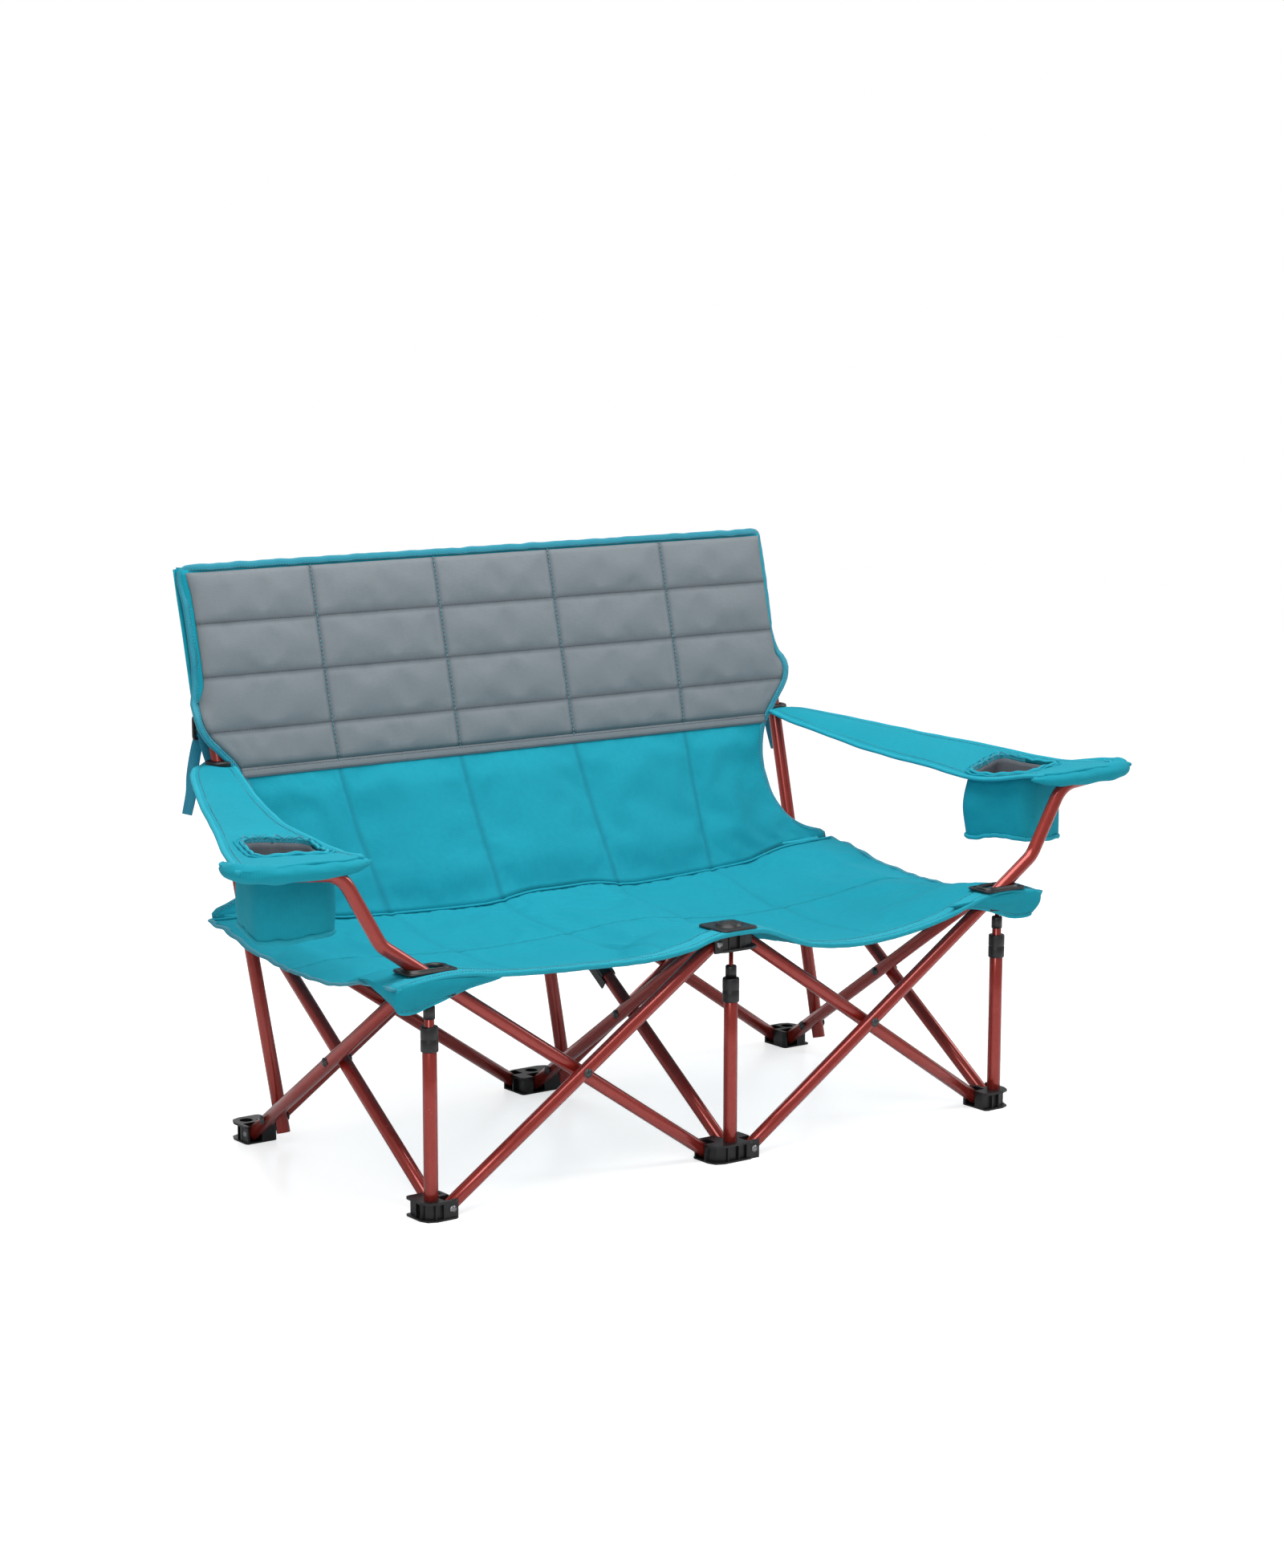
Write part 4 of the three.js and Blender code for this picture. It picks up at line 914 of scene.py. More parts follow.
def settleCloth(mesh, held, growth, reach, pressure=0.0, bending=0.6):
    # lets a sheet find its own wrinkles: it is a little too large for its held lines
    values = {"quality": 4, "mass": 0.25, "tension_stiffness": 18, "compression_stiffness": 18,
              "shear_stiffness": 8, "bending_stiffness": bending, "tension_damping": 12, "shear_damping": 12,
              "air_damping": 4, "vertex_group_mass": "held", "pin_stiffness": 1, "shrink_min": -growth,
              "use_pressure": pressure != 0, "uniform_pressure_force": pressure}
    frames = 16
    before = [vertex.co.copy() for vertex in mesh.vertices]
    piece = bpy.data.objects.new("settling", mesh)
    scene.collection.objects.link(piece)
    group = piece.vertex_groups.new(name="held")
    for index, weight in enumerate(held):
        if weight > 0:
            group.add([index], weight, "REPLACE")
    cloth = piece.modifiers.new("cloth", "CLOTH")
    for name, value in values.items():
        setattr(cloth.settings, name, value)
    cloth.settings.effector_weights.gravity = 0.0
    cloth.collision_settings.use_collision = False
    cloth.point_cache.frame_start = 1
    cloth.point_cache.frame_end = frames
    for step in range(1, frames + 1):
        scene.frame_set(step)
    graph = bpy.context.evaluated_depsgraph_get()
    shaped = piece.evaluated_get(graph).to_mesh()
    after = [vertex.co.copy() for vertex in shaped.vertices]
    piece.evaluated_get(graph).to_mesh_clear()
    piece.modifiers.clear()
    bpy.data.objects.remove(piece)
    scene.frame_set(1)
    for vertex, old, new in zip(mesh.vertices, before, after):
        move = new - old
        vertex.co = old + move * min(1, reach / max(move.length, 1e-9))


def meshPoint(mesh, count, row, column):
    return mesh.vertices[row * count + column].co.copy()


def dent(point, size, depth):
    # a soft unevenness that every laid cloth has
    return depth * noise.noise(Vector(point) / size)


def squashAcross(piece):
    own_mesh(piece)


# hems default to the lighter teal cloth, whose lightness is a painted highlight
def addHem(name, path, body, section, lifts=None, material=litHemCloth, scales=None):
    mesh = sweepMesh(path, section, lifts=lifts, scales=scales)
    return addPiece(name, mesh, material, body)


# Seat

def makeSeatHalf(name, node, near, far, holdNear, holdFar):
    xs = steps(-seat["halfWidth"], seat["halfWidth"], seat["cell"])
    shares = steps(0, 1, seat["cell"] / seat["depth"])
    rows = []
    for share in shares:
        row = []
        for x in xs:
            y = mix(near(x), far(x), share)
            fade = smoothStep((y - near(x)) / seat["hemFade"]) if holdNear else 1
            z = seatHeight(x, y) - seamDip(x, seat["seams"], seat["seamWidth"], seat["seamDepth"]) * fade
            uneven = dent((x, y, 0), *seat["uneven"]) * clearOfHubs(x, y)
            row.append(Vector((x, y, z + uneven)))
        rows.append(row)
    mesh = gridMesh(rows)
    held = []
    for i, row in enumerate(rows):
        for j, point in enumerate(row):
            edge = i in (0, len(rows) - 1) or j in (0, len(row) - 1)
            nearHub = 1 - clearOfHubs(point.x, point.y)
            held.append(1.0 if edge or nearHub > seat["heldShare"] else 0.0)
    settleCloth(mesh, held, growth=0.012, reach=4 * mm)
    shade = {"seam": 0.2, "junction": 0.3}
    markSeamShade(mesh, [shade["seam"] * seamDip(point.x, seat["seams"], seat["seamWidth"], 1)
                     + (shade["junction"] if holdFar and i == len(rows) - 1 else 0)
                     for i, row in enumerate(rows) for point in row])
    piece = addCloth(name, mesh, tealCloth, bodyOf(node), seat["thickness"], (node,))
    return piece, mesh, len(xs), len(rows)


seatFront, seatFrontMesh, seatColumns, frontRows = makeSeatHalf(
    "seat_cloth_front", "seat_front", lambda x: seatFrontY, lambda x: seatSplit, True, False)
seatRear, seatRearMesh, seatColumns, rearRows = makeSeatHalf(
    "seat_cloth_rear", "seat_rear", lambda x: seatSplit, junctionY, False, True)
squashAcross(seatFront)
squashAcross(seatRear)


def makeSeatHems():
    # the front hem is a band of doubled cloth folded over the edge
    hem = {"edge": 4.5 * mm, "edgeHeight": 2.3 * mm, "thickness": 0.9 * mm,
           "section": [(1.5, -5), (-0.8, -3), (-2, -0.5), (-1.2, 1.6), (1, 2.2), (6, 2.3), (13, 2.4),
                       (20, 2.3), (26, 2.1), (28, 1.2)],
           "stitchRows": (3 * mm, 24 * mm), "stitchLift": 3.1 * mm,
           "wave": (50 * mm, 0.5 * mm), "ruffleAcross": (18 * mm, 2 * mm), "ruffleUp": (22 * mm, 3 * mm)}
    front = [meshPoint(seatFrontMesh, seatColumns, 0, j) for j in range(seatColumns)]
    rows = []
    for offset, drop in millimetres(hem["section"]):
        row = []
        for point in front:
            y = point.y + offset
            wave = dent((point.x * 3, offset, 1), *hem["wave"])
            row.append(Vector((point.x, y, seatHeight(point.x, max(y, point.y)) + drop + wave)))
        rows.append(row)
    # the hem's lighter teal is a painted highlight along the up-facing front edge
    piece = addCloth("seat_front_hem", gridMesh(rows), litHemCloth, "seat_front_half", hem["thickness"])
    squashAcross(piece)
    lines = [[Vector((point.x, point.y + place, seatHeight(point.x, point.y + place) + hem["stitchLift"]))
              for point in front] for place in hem["stitchRows"]]
    squashAcross(stitches("seat_front_hem_stitches", lines, tealThread, "seat_front_half"))
    for side, column in (("left", 0), ("right", seatColumns - 1)):
        for part, mesh, count in (("front", seatFrontMesh, frontRows), ("rear", seatRearMesh, rearRows)):
            edge = [meshPoint(mesh, seatColumns, i, column) for i in range(count)]
            ruffles = [(dent((point.y, 1, 0), *hem["ruffleAcross"]), dent((point.y, 4, 0), *hem["ruffleUp"]))
                       for point in edge]
            path = [point + Vector((across, 0, up)) for point, (across, up) in zip(edge, ruffles)]
            squashAcross(addHem(f"seat_side_hem_{side}_{part}", path, f"seat_{part}_half",
                                oval(hem["edge"], hem["edgeHeight"]), material=bindingTape))


def makeJunctionWelt():
    # the lower back is sewn to the seat along a narrow welt
    welt = {"inFront": 0.6 * mm, "lift": 2.4 * mm, "halfWidth": 2.6 * mm, "halfHeight": 1.8 * mm}
    shift = Vector((0, -welt["inFront"], welt["lift"]))
    path = [meshPoint(seatRearMesh, seatColumns, rearRows - 1, j) + shift for j in range(seatColumns)]
    section = oval(welt["halfWidth"], welt["halfHeight"], 10)
    squashAcross(addHem("seat_back_welt", path, "seat_rear_half", section, material=tealCloth))


makeSeatHems()
makeJunctionWelt()
print("stage: seat", flush=True)


# Front corner pouches

def makePouches():
    pouch = {"drop": 40 * mm, "inward": 14 * mm, "fold": 3 * mm, "folds": 21, "belly": 4 * mm,
             "middle": (55 * mm, 42 * mm), "thickness": 1.8 * mm,
             # its upper edge: across from the corner, back from the front edge, up from the seat's level
             "rim": [(-176, 2, -10), (-130, 0, -7), (-84, -1, -3), (-40, -1, -2), (-8, 0, -4), (1, 10, -7),
                     (3, 38, -6), (2, 66, -5), (0, 92, -9)],
             "depthShares": [(0, 0.03), (0.15, 0.36), (0.3, 0.84), (0.4, 1.0), (0.52, 0.9), (0.7, 0.6),
                             (0.85, 0.3), (1, 0.05)],
             "hem": (2.4 * mm, 3.2 * mm), "stitchInset": (0.4 * mm, 1.6 * mm)}
    across, back = pouch["middle"]
    for side, sign in armSides.items():
        corner = sign * seat["halfWidth"]
        rim = smoothPath([Vector((corner + sign * x * mm, seatFrontY + y * mm, seat["level"] + z * mm))
                          for x, y, z in pouch["rim"]], 8)
        middle = Vector((corner - sign * across, seatFrontY + back, 0))
        rows = []
        for level in steps(0, 1, 0.09):
            row = []
            for i, point in enumerate(rim):
                share = i / (len(rim) - 1)
                depth = curveThrough(pouch["depthShares"], share) * pouch["drop"]
                inward = Vector((middle.x - point.x, middle.y - point.y, 0)).normalized()
                swell = math.sin(math.pi * share)
                ripple = math.sin(share * pouch["folds"]) * swell * pouch["fold"] * level
                belly = math.sin(math.pi * level) * pouch["belly"]
                row.append(point + inward * (pouch["inward"] * level * level + ripple - belly * swell)
                           - Vector((0, 0, depth * level)))
            rows.append(row)
        body = f"front_{side}_hub"
        piece = addCloth("corner_pouch_" + side, gridMesh(rows), tealCloth, body, pouch["thickness"])
        addHem(f"corner_pouch_hem_{side}", rows[-1], body, oval(*pouch["hem"], 12))
        inset, ahead = pouch["stitchInset"]
        lines = [[point + Vector((sign * inset, -ahead, 0)) for point in rows[-2]]]
        stitches(f"corner_pouch_stitches_{side}", lines, tealThread, body)


makePouches()


# Seat plates

def plateRows(node, loops):
    # loops of (half length, half width, corner radius, height) in millimetres on the foot of a solid
    low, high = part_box(node)
    centre = (low + high) / 2
    centre.z = low.z
    return [[centre + Vector((x, y, height)) for x, y in roundedLoop(halfX, halfY, radius, 56)]
            for halfX, halfY, radius, height in millimetres(loops)]


def makeSeatPlates():
    # the sewn corner plates are a little shorter and deeper than their plain solids
    corner = [(37.2, 23.2, 8, 0), (38, 24, 9, 0.9), (37.7, 23.7, 8.6, 2.4), (36.6, 22.6, 7.4, 3.1),
              (33, 20, 7, 3.1), (32.2, 19.2, 7, 2.2), (34, 16.8, 15, 2.2), (33, 16, 14.6, 4.6),
              (30.5, 14.6, 13.4, 6), (28, 12.8, 12, 5.4), (26, 11.2, 11, 3.4), (26, 11.2, 11, 0)]
    for side in armSides:
        node = "seat_plate_" + side
        addPiece("moulded_" + node, closedLoops(plateRows(node, corner)), nylon, bodyOf(node), (node,))
    node = "seat_plate_centre"
    low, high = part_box(node)
    halfX, halfY = (high.x - low.x) / 2 / mm, (high.y - low.y) / 2 / mm
    rim = [(halfX - inset, halfY - inset, radius, height) for inset, radius, height in
           ((0.8, 8, 0), (0, 9, 0.9), (0.4, 8.6, 2.3), (1.8, 7.4, 3.1))]
    dome = [(half, half, half - 0.1, height) for half, height in
            ((21, 3.2), (20, 2), (18, 1.9), (17, 5.4), (15.4, 6.6), (13, 6.4), (11.6, 4.4), (9, 6.4),
             (5, 8), (1, 8.4))]
    mesh = turnOutwards(gridMesh(plateRows(node, rim + dome), around=True, capped=True))
    addPiece("moulded_" + node, mesh, nylon, bodyOf(node), (node,))


makeSeatPlates()
print("stage: pouches and plates", flush=True)


# Back

back = {"top": 797 * mm, "leave": 508 * mm, "bow": 66 * mm, "edgeShare": 0.85, "stand": 13 * mm,
        "thickness": 2.2 * mm, "cell": 7.5 * mm, "padBottom": 508 * mm, "wrapFrom": 580 * mm,
        "puff": 6.5 * mm, "puffRound": 0.45, "puffFrom": 315 * mm, "puffRise": 50 * mm, "puffFade": 30 * mm,
        "lowShare": 0.82, "wrapInset": 6 * mm, "wrapWidth": 16 * mm, "wrapRise": 30 * mm,
        # half the back's width at a height
        "edge": [(317, 541), (330, 516), (350, 490), (375, 466), (400, 452), (430, 445), (455, 444),
                 (480, 449), (505, 459), (525, 473), (545, 491), (562, 507), (580, 517), (597, 519),
                 (615, 514), (640, 508), (700, 507), (760, 508), (785, 511), (797, 511)],
        # where the four vertical seams lie at the junction, at the pad's foot and at the top
        "innerSeam": [(310, 102), (508, 101), (797, 101)], "outerSeam": [(310, 285), (508, 306), (797, 309)],
        "bays": 5, "cellsPerBay": 28}
backEdge = millimetres(back["edge"])
innerSeam = millimetres(back["innerSeam"])
outerSeam = millimetres(back["outerSeam"])
backFoot = seat["level"] - seat["junctionDrop"]
backSeamColumns = [back["cellsPerBay"] * k for k in range(back["bays"] + 1)]


def leanY(z):
    pin = pivots["centre_upright_pin"]
    return pin.y + uprightSizes["slope"] * (z - pin.z)


def backY(x, z):
    # the cloth's middle surface: in front of the uprights, round the outer ones, and forward below them
    half = curveThrough(backEdge, z)
    share = min(abs(x) / half, 1)
    low = max((back["leave"] - z) / (back["leave"] - backFoot), 0)
    low = low * mix(back["lowShare"], 1, smoothStep(low))
    past = min(max((abs(x) - abs(uprightAt(1, z).x) + back["wrapInset"]) / back["wrapWidth"], 0), 1)
    past *= smoothStep((z - back["wrapFrom"]) / back["wrapRise"])
    wrap = back["stand"] * (1 - math.sqrt(max(1 - past * past, 0)))
    return leanY(z) - back["stand"] + wrap - back["bow"] * low * (1 - back["edgeShare"] * share * share)


def seamX(z):
    inner, outer = curveThrough(innerSeam, z), curveThrough(outerSeam, z)
    return [-outer, -inner, inner, outer]


def backColumns(z):
    # places across the back: the seams always fall on the same columns
    half = curveThrough(backEdge, z)
    marks = [-half, *seamX(z), half]
    count = back["cellsPerBay"]
    places = [mix(marks[k], marks[k + 1], i / count) for k in range(back["bays"]) for i in range(count)]
    return places + [half]


def lowerPuff(x, z):
    # the lower back is thinly padded between its seams
    half = curveThrough(backEdge, z)
    marks = [-half, *seamX(z), half]
    k = next((i for i in range(back["bays"]) if x <= marks[i + 1]), back["bays"] - 1)
    across = (x - marks[k]) / (marks[k + 1] - marks[k])
    swell = max(math.sin(math.pi * min(max(across, 0), 1)), 0) ** back["puffRound"]
    up = smoothStep((z - back["puffFrom"]) / back["puffRise"])
    up *= smoothStep((back["padBottom"] - z) / back["puffFade"])
    return back["puff"] * swell * up


def makeBackPanel():
    panel = {"lift": 2 * mm, "footBlend": 0.12, "heldAbove": 504 * mm, "uneven": (130 * mm, 1.5 * mm),
             "seamShade": 0.5}
    rows = []
    for level in steps(0, 1, back["cell"] / (back["top"] - backFoot)):
        row = []
        z0 = mix(backFoot, back["top"], level)
        for x in backColumns(z0):
            start = seatHeight(x, junctionY(x)) + panel["lift"]
            z = z0 + (start - backFoot) * (1 - smoothStep(level / panel["footBlend"]))
            uneven = dent((x, 7, z), *panel["uneven"])
            row.append(Vector((x, backY(x, z) - lowerPuff(x, z) + uneven, z)))
        rows.append(row)
    mesh = gridMesh(rows)
    inner = backSeamColumns[1:-1]
    held = []
    for i, row in enumerate(rows):
        for j, point in enumerate(row):
            edge = i < 2 or j < 2 or j > len(row) - 3 or point.z > panel["heldAbove"]
            held.append(1.0 if edge or j in inner else 0.0)
    settleCloth(mesh, held, growth=0.008, reach=5 * mm, bending=2.5)
    markSeamShade(mesh, [panel["seamShade"] if j in inner else 0.0 for row in rows for j in range(len(row))])
    piece = addCloth("back_cloth", mesh, tealCloth, bodyOf("back_sling"), back["thickness"], ("back_sling",))
    squashAcross(piece)
    return mesh, len(rows[0]), len(rows)


def closeEnds(mesh):
    def close(shape):
        bmesh.ops.holes_fill(shape, edges=[edge for edge in shape.edges if edge.is_boundary], sides=0)
        bmesh.ops.triangulate(shape, faces=[face for face in shape.faces if len(face.verts) > 4])

    turnOutwards(reshape(mesh, close))


def makeBackPad():
    pad = {"margin": 7 * mm, "base": 3.4 * mm, "crown": 4.6 * mm, "roundness": 0.3, "seamShade": 0.75,
           # heights of its level seams, and the cells between them
           "rows": [521, 573, 648, 721, 790], "cells": [8, 11, 11, 10],
           "rear": 0.3 * mm, "stitchOut": 1 * mm, "levelStitchOut": 0.7 * mm, "uneven": (90 * mm, 0.6 * mm)}
    body = bodyOf("back_pad")
    marks = [z * mm for z in pad["rows"]]
    levels = [marks[0]]
    for k, count in enumerate(pad["cells"]):
        levels += [mix(marks[k], marks[k + 1], (i + 1) / count) for i in range(count)]
    seamRows = [sum(pad["cells"][:k]) for k in range(5)]
    rows = []
    for i, z in enumerate(levels):
        k = next(n for n in range(4) if i <= seamRows[n + 1])
        up = (i - seamRows[k]) / pad["cells"][k]
        half = curveThrough(backEdge, z)
        shrink = (half - pad["margin"]) / half
        row = []
        for j, x in enumerate(backColumns(z)):
            m = next(n for n in range(back["bays"]) if j <= backSeamColumns[n + 1])
            across = (j - backSeamColumns[m]) / back["cellsPerBay"]
            swell = (max(math.sin(math.pi * up), 0) * max(math.sin(math.pi * across), 0)) ** pad["roundness"]
            x *= mix(1, shrink, (abs(x) / half) ** 4)
            y = backY(x, z) - back["thickness"] / 2 - pad["base"] - pad["crown"] * swell
            row.append(Vector((x, y + dent((x, 3, z), *pad["uneven"]), z)))
        rows.append(row)
    mesh = gridMesh(rows)
    count = len(rows[0])
    held = [1.0 if i in seamRows or j in backSeamColumns else 0.0
            for i in range(len(rows)) for j in range(count)]
    settleCloth(mesh, held, growth=0.006, reach=3 * mm, pressure=0.2, bending=2.5)
    face = [[meshPoint(mesh, count, i, j) for j in range(count)] for i in range(len(rows))]
    bpy.data.meshes.remove(mesh)
    # a flat back closes the pad
    behind = back["thickness"] / 2 + pad["rear"]
    rear = lambda point: Vector((point.x, backY(point.x, point.z) - behind, point.z))
    mesh = gridMesh([row + [rear(point) for point in reversed(row)] for row in face], around=True)
    upright, level = backSeamColumns[1:-1], seamRows[1:-1]
    markSeamShade(mesh, [pad["seamShade"] if i in level or j in upright else 0.0
                     for i in range(len(rows)) for j in range(2 * count)])
    closeEnds(mesh)
    piece = addPiece("back_pad_quilted", mesh, greyCloth, body, ("back_pad",))
    squashAcross(piece)
    lines = [[row[j] + Vector((0, -pad["stitchOut"], 0)) for row in face] for j in upright]
    squashAcross(stitches("back_pad_upright_seams", lines, tealThread, body, pitch=6 * mm, radius=0.8 * mm))
    lines = [[point + Vector((0, -pad["levelStitchOut"], 0)) for point in face[i]] for i in level]
    squashAcross(stitches("back_pad_level_seams", lines, greyThread, body))
    makePadHem(face[0], body)


def makePadHem(foot, body):
    # the flat double-stitched band at the pad's foot
    hem = {"section": [(0.5, 0.4), (0, 1.4), (-3, 2.2), (-7, 2.3), (-11, 2.2), (-13.5, 1.3), (-13.8, 0.2)],
           "out": 0.6 * mm, "thickness": 1.2 * mm, "stitchRows": (2, 4), "stitchOut": 0.8 * mm}
    band = []
    for drop, out in millimetres(hem["section"]):
        row = []
        for point in foot:
            z = point.z + drop
            y = backY(point.x, z) - lowerPuff(point.x, z) - back["thickness"] / 2 - hem["out"] - out
            row.append(Vector((point.x, y, z)))
        band.append(row)
    strip = addCloth("back_pad_hem", gridMesh(band), greyCloth, body, hem["thickness"])
    squashAcross(strip)
    lines = [[point + Vector((0, -hem["stitchOut"], 0)) for point in band[k]] for k in hem["stitchRows"]]
    squashAcross(stitches("back_pad_hem_stitches", lines, greyThread, body))


def roundCorner(points):
    # a few points through a corner, eased into a curve
    path = list(points)
    for _ in range(6):
        inner = [(path[i - 1] + path[i] * 2 + path[i + 1]) / 4 for i in range(1, len(path) - 1)]
        path = [path[0], *inner, path[-1]]
    return path


def makeBackBinding(mesh, count, rowCount):
    # folded tape round the top and both sides, down to where the armrests pass
    binding = {"half": 5 * mm, "thick": 3.2 * mm, "from": 300 * mm, "corner": 7, "out": 2.6 * mm,
               "topFrom": 780 * mm, "outFrom": 500 * mm, "outRise": 30 * mm, "lift": Vector((0, -1, 0.25)),
               "footScale": 0.5, "footFrom": 330 * mm, "footRise": 140 * mm,
               "ruffleAcross": (60 * mm, 1.2 * mm), "ruffleUp": (80 * mm, 1.6 * mm),
               "section": [(-1, -0.3), (-0.9, 0.5), (-0.5, 0.75), (0, 0.8), (0.5, 0.75), (0.9, 0.5),
                           (1, -0.3), (0.9, -1), (0.5, -1.25), (0, -1.3), (-0.5, -1.25), (-0.9, -1)],
               "stitch": (3.2 * mm, 3.2 * mm, 3 * mm)}
    left, right = [[point for point in (meshPoint(mesh, count, i, j) for i in range(rowCount))
                    if point.z > binding["from"]] for j in (0, count - 1)]
    right.reverse()
    top = [meshPoint(mesh, count, rowCount - 1, j) for j in range(count)]
    corner = binding["corner"]
    route = left[:-corner] + roundCorner(left[-corner:] + top[1:corner]) + top[corner:-corner]
    route += roundCorner(top[-corner:] + right[1:corner]) + right[corner:]
    wavy = []
    for i, point in enumerate(route):
        ruffle = Vector((0, dent((i * 0.031, 0, 0), *binding["ruffleAcross"]),
                         dent((0, i * 0.027, 4), *binding["ruffleUp"])))
        outward = binding["out"] * smoothStep((point.z - binding["outFrom"]) / binding["outRise"])
        wavy.append(point + ruffle + Vector((0, -outward, 0)))
    section = [(binding["half"] * a, binding["thick"] * b) for a, b in binding["section"]]
    scales = [mix(binding["footScale"], 1, smoothStep((point.z - binding["footFrom"]) / binding["footRise"]))
              for point in wavy]
    body = bodyOf("back_sling")
    squashAcross(addHem("back_binding", wavy, body, section, lifts=[binding["lift"]] * len(wavy),
                        material=bindingTape, scales=scales))
    inward, out, down = binding["stitch"]
    inner = []
    for point in wavy:
        onTop = point.z >= binding["topFrom"]
        across = 0 if onTop else -math.copysign(inward, point.x)
        inner.append(point + Vector((across, -out, -down if onTop else 0)))
    squashAcross(stitches("back_binding_stitches", [inner], tealThread, body))


def makeSleeves():
    # the tunnels that hold the uprights: round the outer ones, behind the cloth at the middle one
    sleeve = {"bottom": 585 * mm, "top": 794 * mm, "cell": 8 * mm, "radius": 11.6 * mm, "wrapPlay": 0.6 * mm,
              "wing": 30 * mm, "wingShare": 0.14, "wingForward": 7 * mm, "thickness": 1.6 * mm, "gap": 2 * mm,
              "halfWidth": 515.5 * mm, "columns": 24, "roundness": 0.8, "uneven": (50 * mm, 1 * mm),
              "wrapUneven": (30 * mm, 0.09)}
    heights = steps(sleeve["bottom"], sleeve["top"], sleeve["cell"])
    for column, name in zip((-1, 1), ("left", "right")):
        rows = []
        for z in heights:
            middle = uprightAt(column, z)
            rows.append([middle + Vector((a, b, 0)) * (1 + dent((a * 3, b * 3, z), *sleeve["wrapUneven"]))
                         for a, b in circle(sleeve["radius"] + sleeve["wrapPlay"], 32)])
        mesh = gridMesh(rows, around=True)
        body = bodyOf("upright_" + name)
        piece = addCloth("upright_wrap_" + name, mesh, tealCloth, body, sleeve["thickness"])
    for column, name in zip((-1, 0, 1), columnNames):
        rows = []
        for z in heights:
            middle = uprightAt(column, z)
            row = []
            for k in range(sleeve["columns"] + 1):
                angle = math.pi * (k / sleeve["columns"])
                across = -math.cos(angle)
                wing = max(abs(across) - 1 + sleeve["wingShare"], 0) / sleeve["wingShare"]
                reach = sleeve["radius"] + (sleeve["wing"] - sleeve["radius"]) * wing * wing
                x = middle.x + across * reach
                x = math.copysign(min(abs(x), sleeve["halfWidth"]), x)
                behind = math.sin(angle) ** sleeve["roundness"] * sleeve["radius"]
                y = middle.y + behind - wing * sleeve["wingForward"]
                uneven = dent((x, 5, z), *sleeve["uneven"])
                row.append(Vector((x, max(y, backY(x, z) + sleeve["gap"]) + uneven, z)))
            rows.append(row)
        body = bodyOf("upright_" + name)
        piece = addCloth("upright_sleeve_" + name, gridMesh(rows), tealCloth, body, sleeve["thickness"])


backParts = makeBackPanel()
makeBackPad()
makeBackBinding(*backParts)
makeSleeves()
print("stage: back", flush=True)


# Armrests and cup holders

armrest = {"frontHeight": 482 * mm, "rearHeight": 523 * mm, "sag": 9 * mm, "arch": 3 * mm, "dip": 8 * mm,
           "dipLength": 75 * mm, "thickness": 4 * mm, "cell": 5 * mm, "columns": 34,
           "rear": 512 * mm, "innerDrop": {"left": 5 * mm, "right": 22 * mm},
           # edges of the left armrest: behind the arm tube, from the chair's middle
           "inner": [(-9, 606), (-4, 588), (4, 574), (14, 567), (30, 566), (60, 562), (90, 554), (120, 549),
                     (150, 547), (190, 549), (240, 547), (300, 533), (360, 517), (414, 501), (476, 481),
                     (508, 473), (524, 476), (536, 487)],
           "outer": [(-9, 718), (-4, 734), (4, 743), (14, 745), (46, 728), (100, 705), (164, 681), (240, 650),
                     (341, 611), (420, 578), (484, 549), (508, 534), (524, 521), (536, 505)],
           "ringHole": 13 * mm, "ringReach": 22 * mm, "openingReach": 12 * mm,
           "uneven": (70 * mm, 1.4 * mm), "unevenFrom": 200 * mm}
opening = {"x": 617 * mm, "along": 118 * mm, "halfX": 47 * mm, "halfY": 52 * mm, "radius": 19 * mm,
           "turn": math.radians(15)}
innerEdge = millimetres(armrest["inner"])
outerEdge = millimetres(armrest["outer"])


def armrestHeight(side, along, share):
    # share runs from the inner edge to the outer edge
    way = min(max(along / armrest["rear"], 0), 1)
    arch = math.sin(math.pi * way)
    cross = armrest["arch"] * math.sin(math.pi * min(max(share, 0), 1))
    dip = armrest["dip"] * math.exp(-((along - opening["along"]) / armrest["dipLength"]) ** 2)
    return (mix(armrest["frontHeight"], armrest["rearHeight"], way) - armrest["sag"] * arch
            - armrest["innerDrop"][side] * arch * (1 - share) + cross - dip)


def armPoint(side, x, along, lift=0.0):
    inner, outer = curveThrough(innerEdge, along), curveThrough(outerEdge, along)
    height = armrestHeight(side, along, (x - inner) / (outer - inner))
    return Vector((armSides[side] * x, armPlanes[side] + along, height + lift))


def openingLoop(grow, count=72):
    # outline of the cup opening as (from the chair's middle, behind the arm tube) pairs
    cos, sin = math.cos(opening["turn"]), math.sin(opening["turn"])
    loop = roundedLoop(opening["halfX"] + grow, opening["halfY"] + grow, opening["radius"] + grow, count)
    return [(opening["x"] + x * cos - y * sin, opening["along"] + x * sin + y * cos) for x, y in loop]


def openingDistance(x, along):
    # how far outside the opening a place lies; negative inside
    cos, sin = math.cos(-opening["turn"]), math.sin(-opening["turn"])
    dx, dy = x - opening["x"], along - opening["along"]
    outX = abs(dx * cos - dy * sin) - opening["halfX"] + opening["radius"]
    outY = abs(dx * sin + dy * cos) - opening["halfY"] + opening["radius"]
    return math.hypot(max(outX, 0), max(outY, 0)) + min(max(outX, outY), 0) - opening["radius"]


def squashArm(piece):
    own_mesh(piece)


def grommetPlace(side):
    # the upright's place where it passes the armrest
    return uprightAt(armSides[side], armrest["rearHeight"])


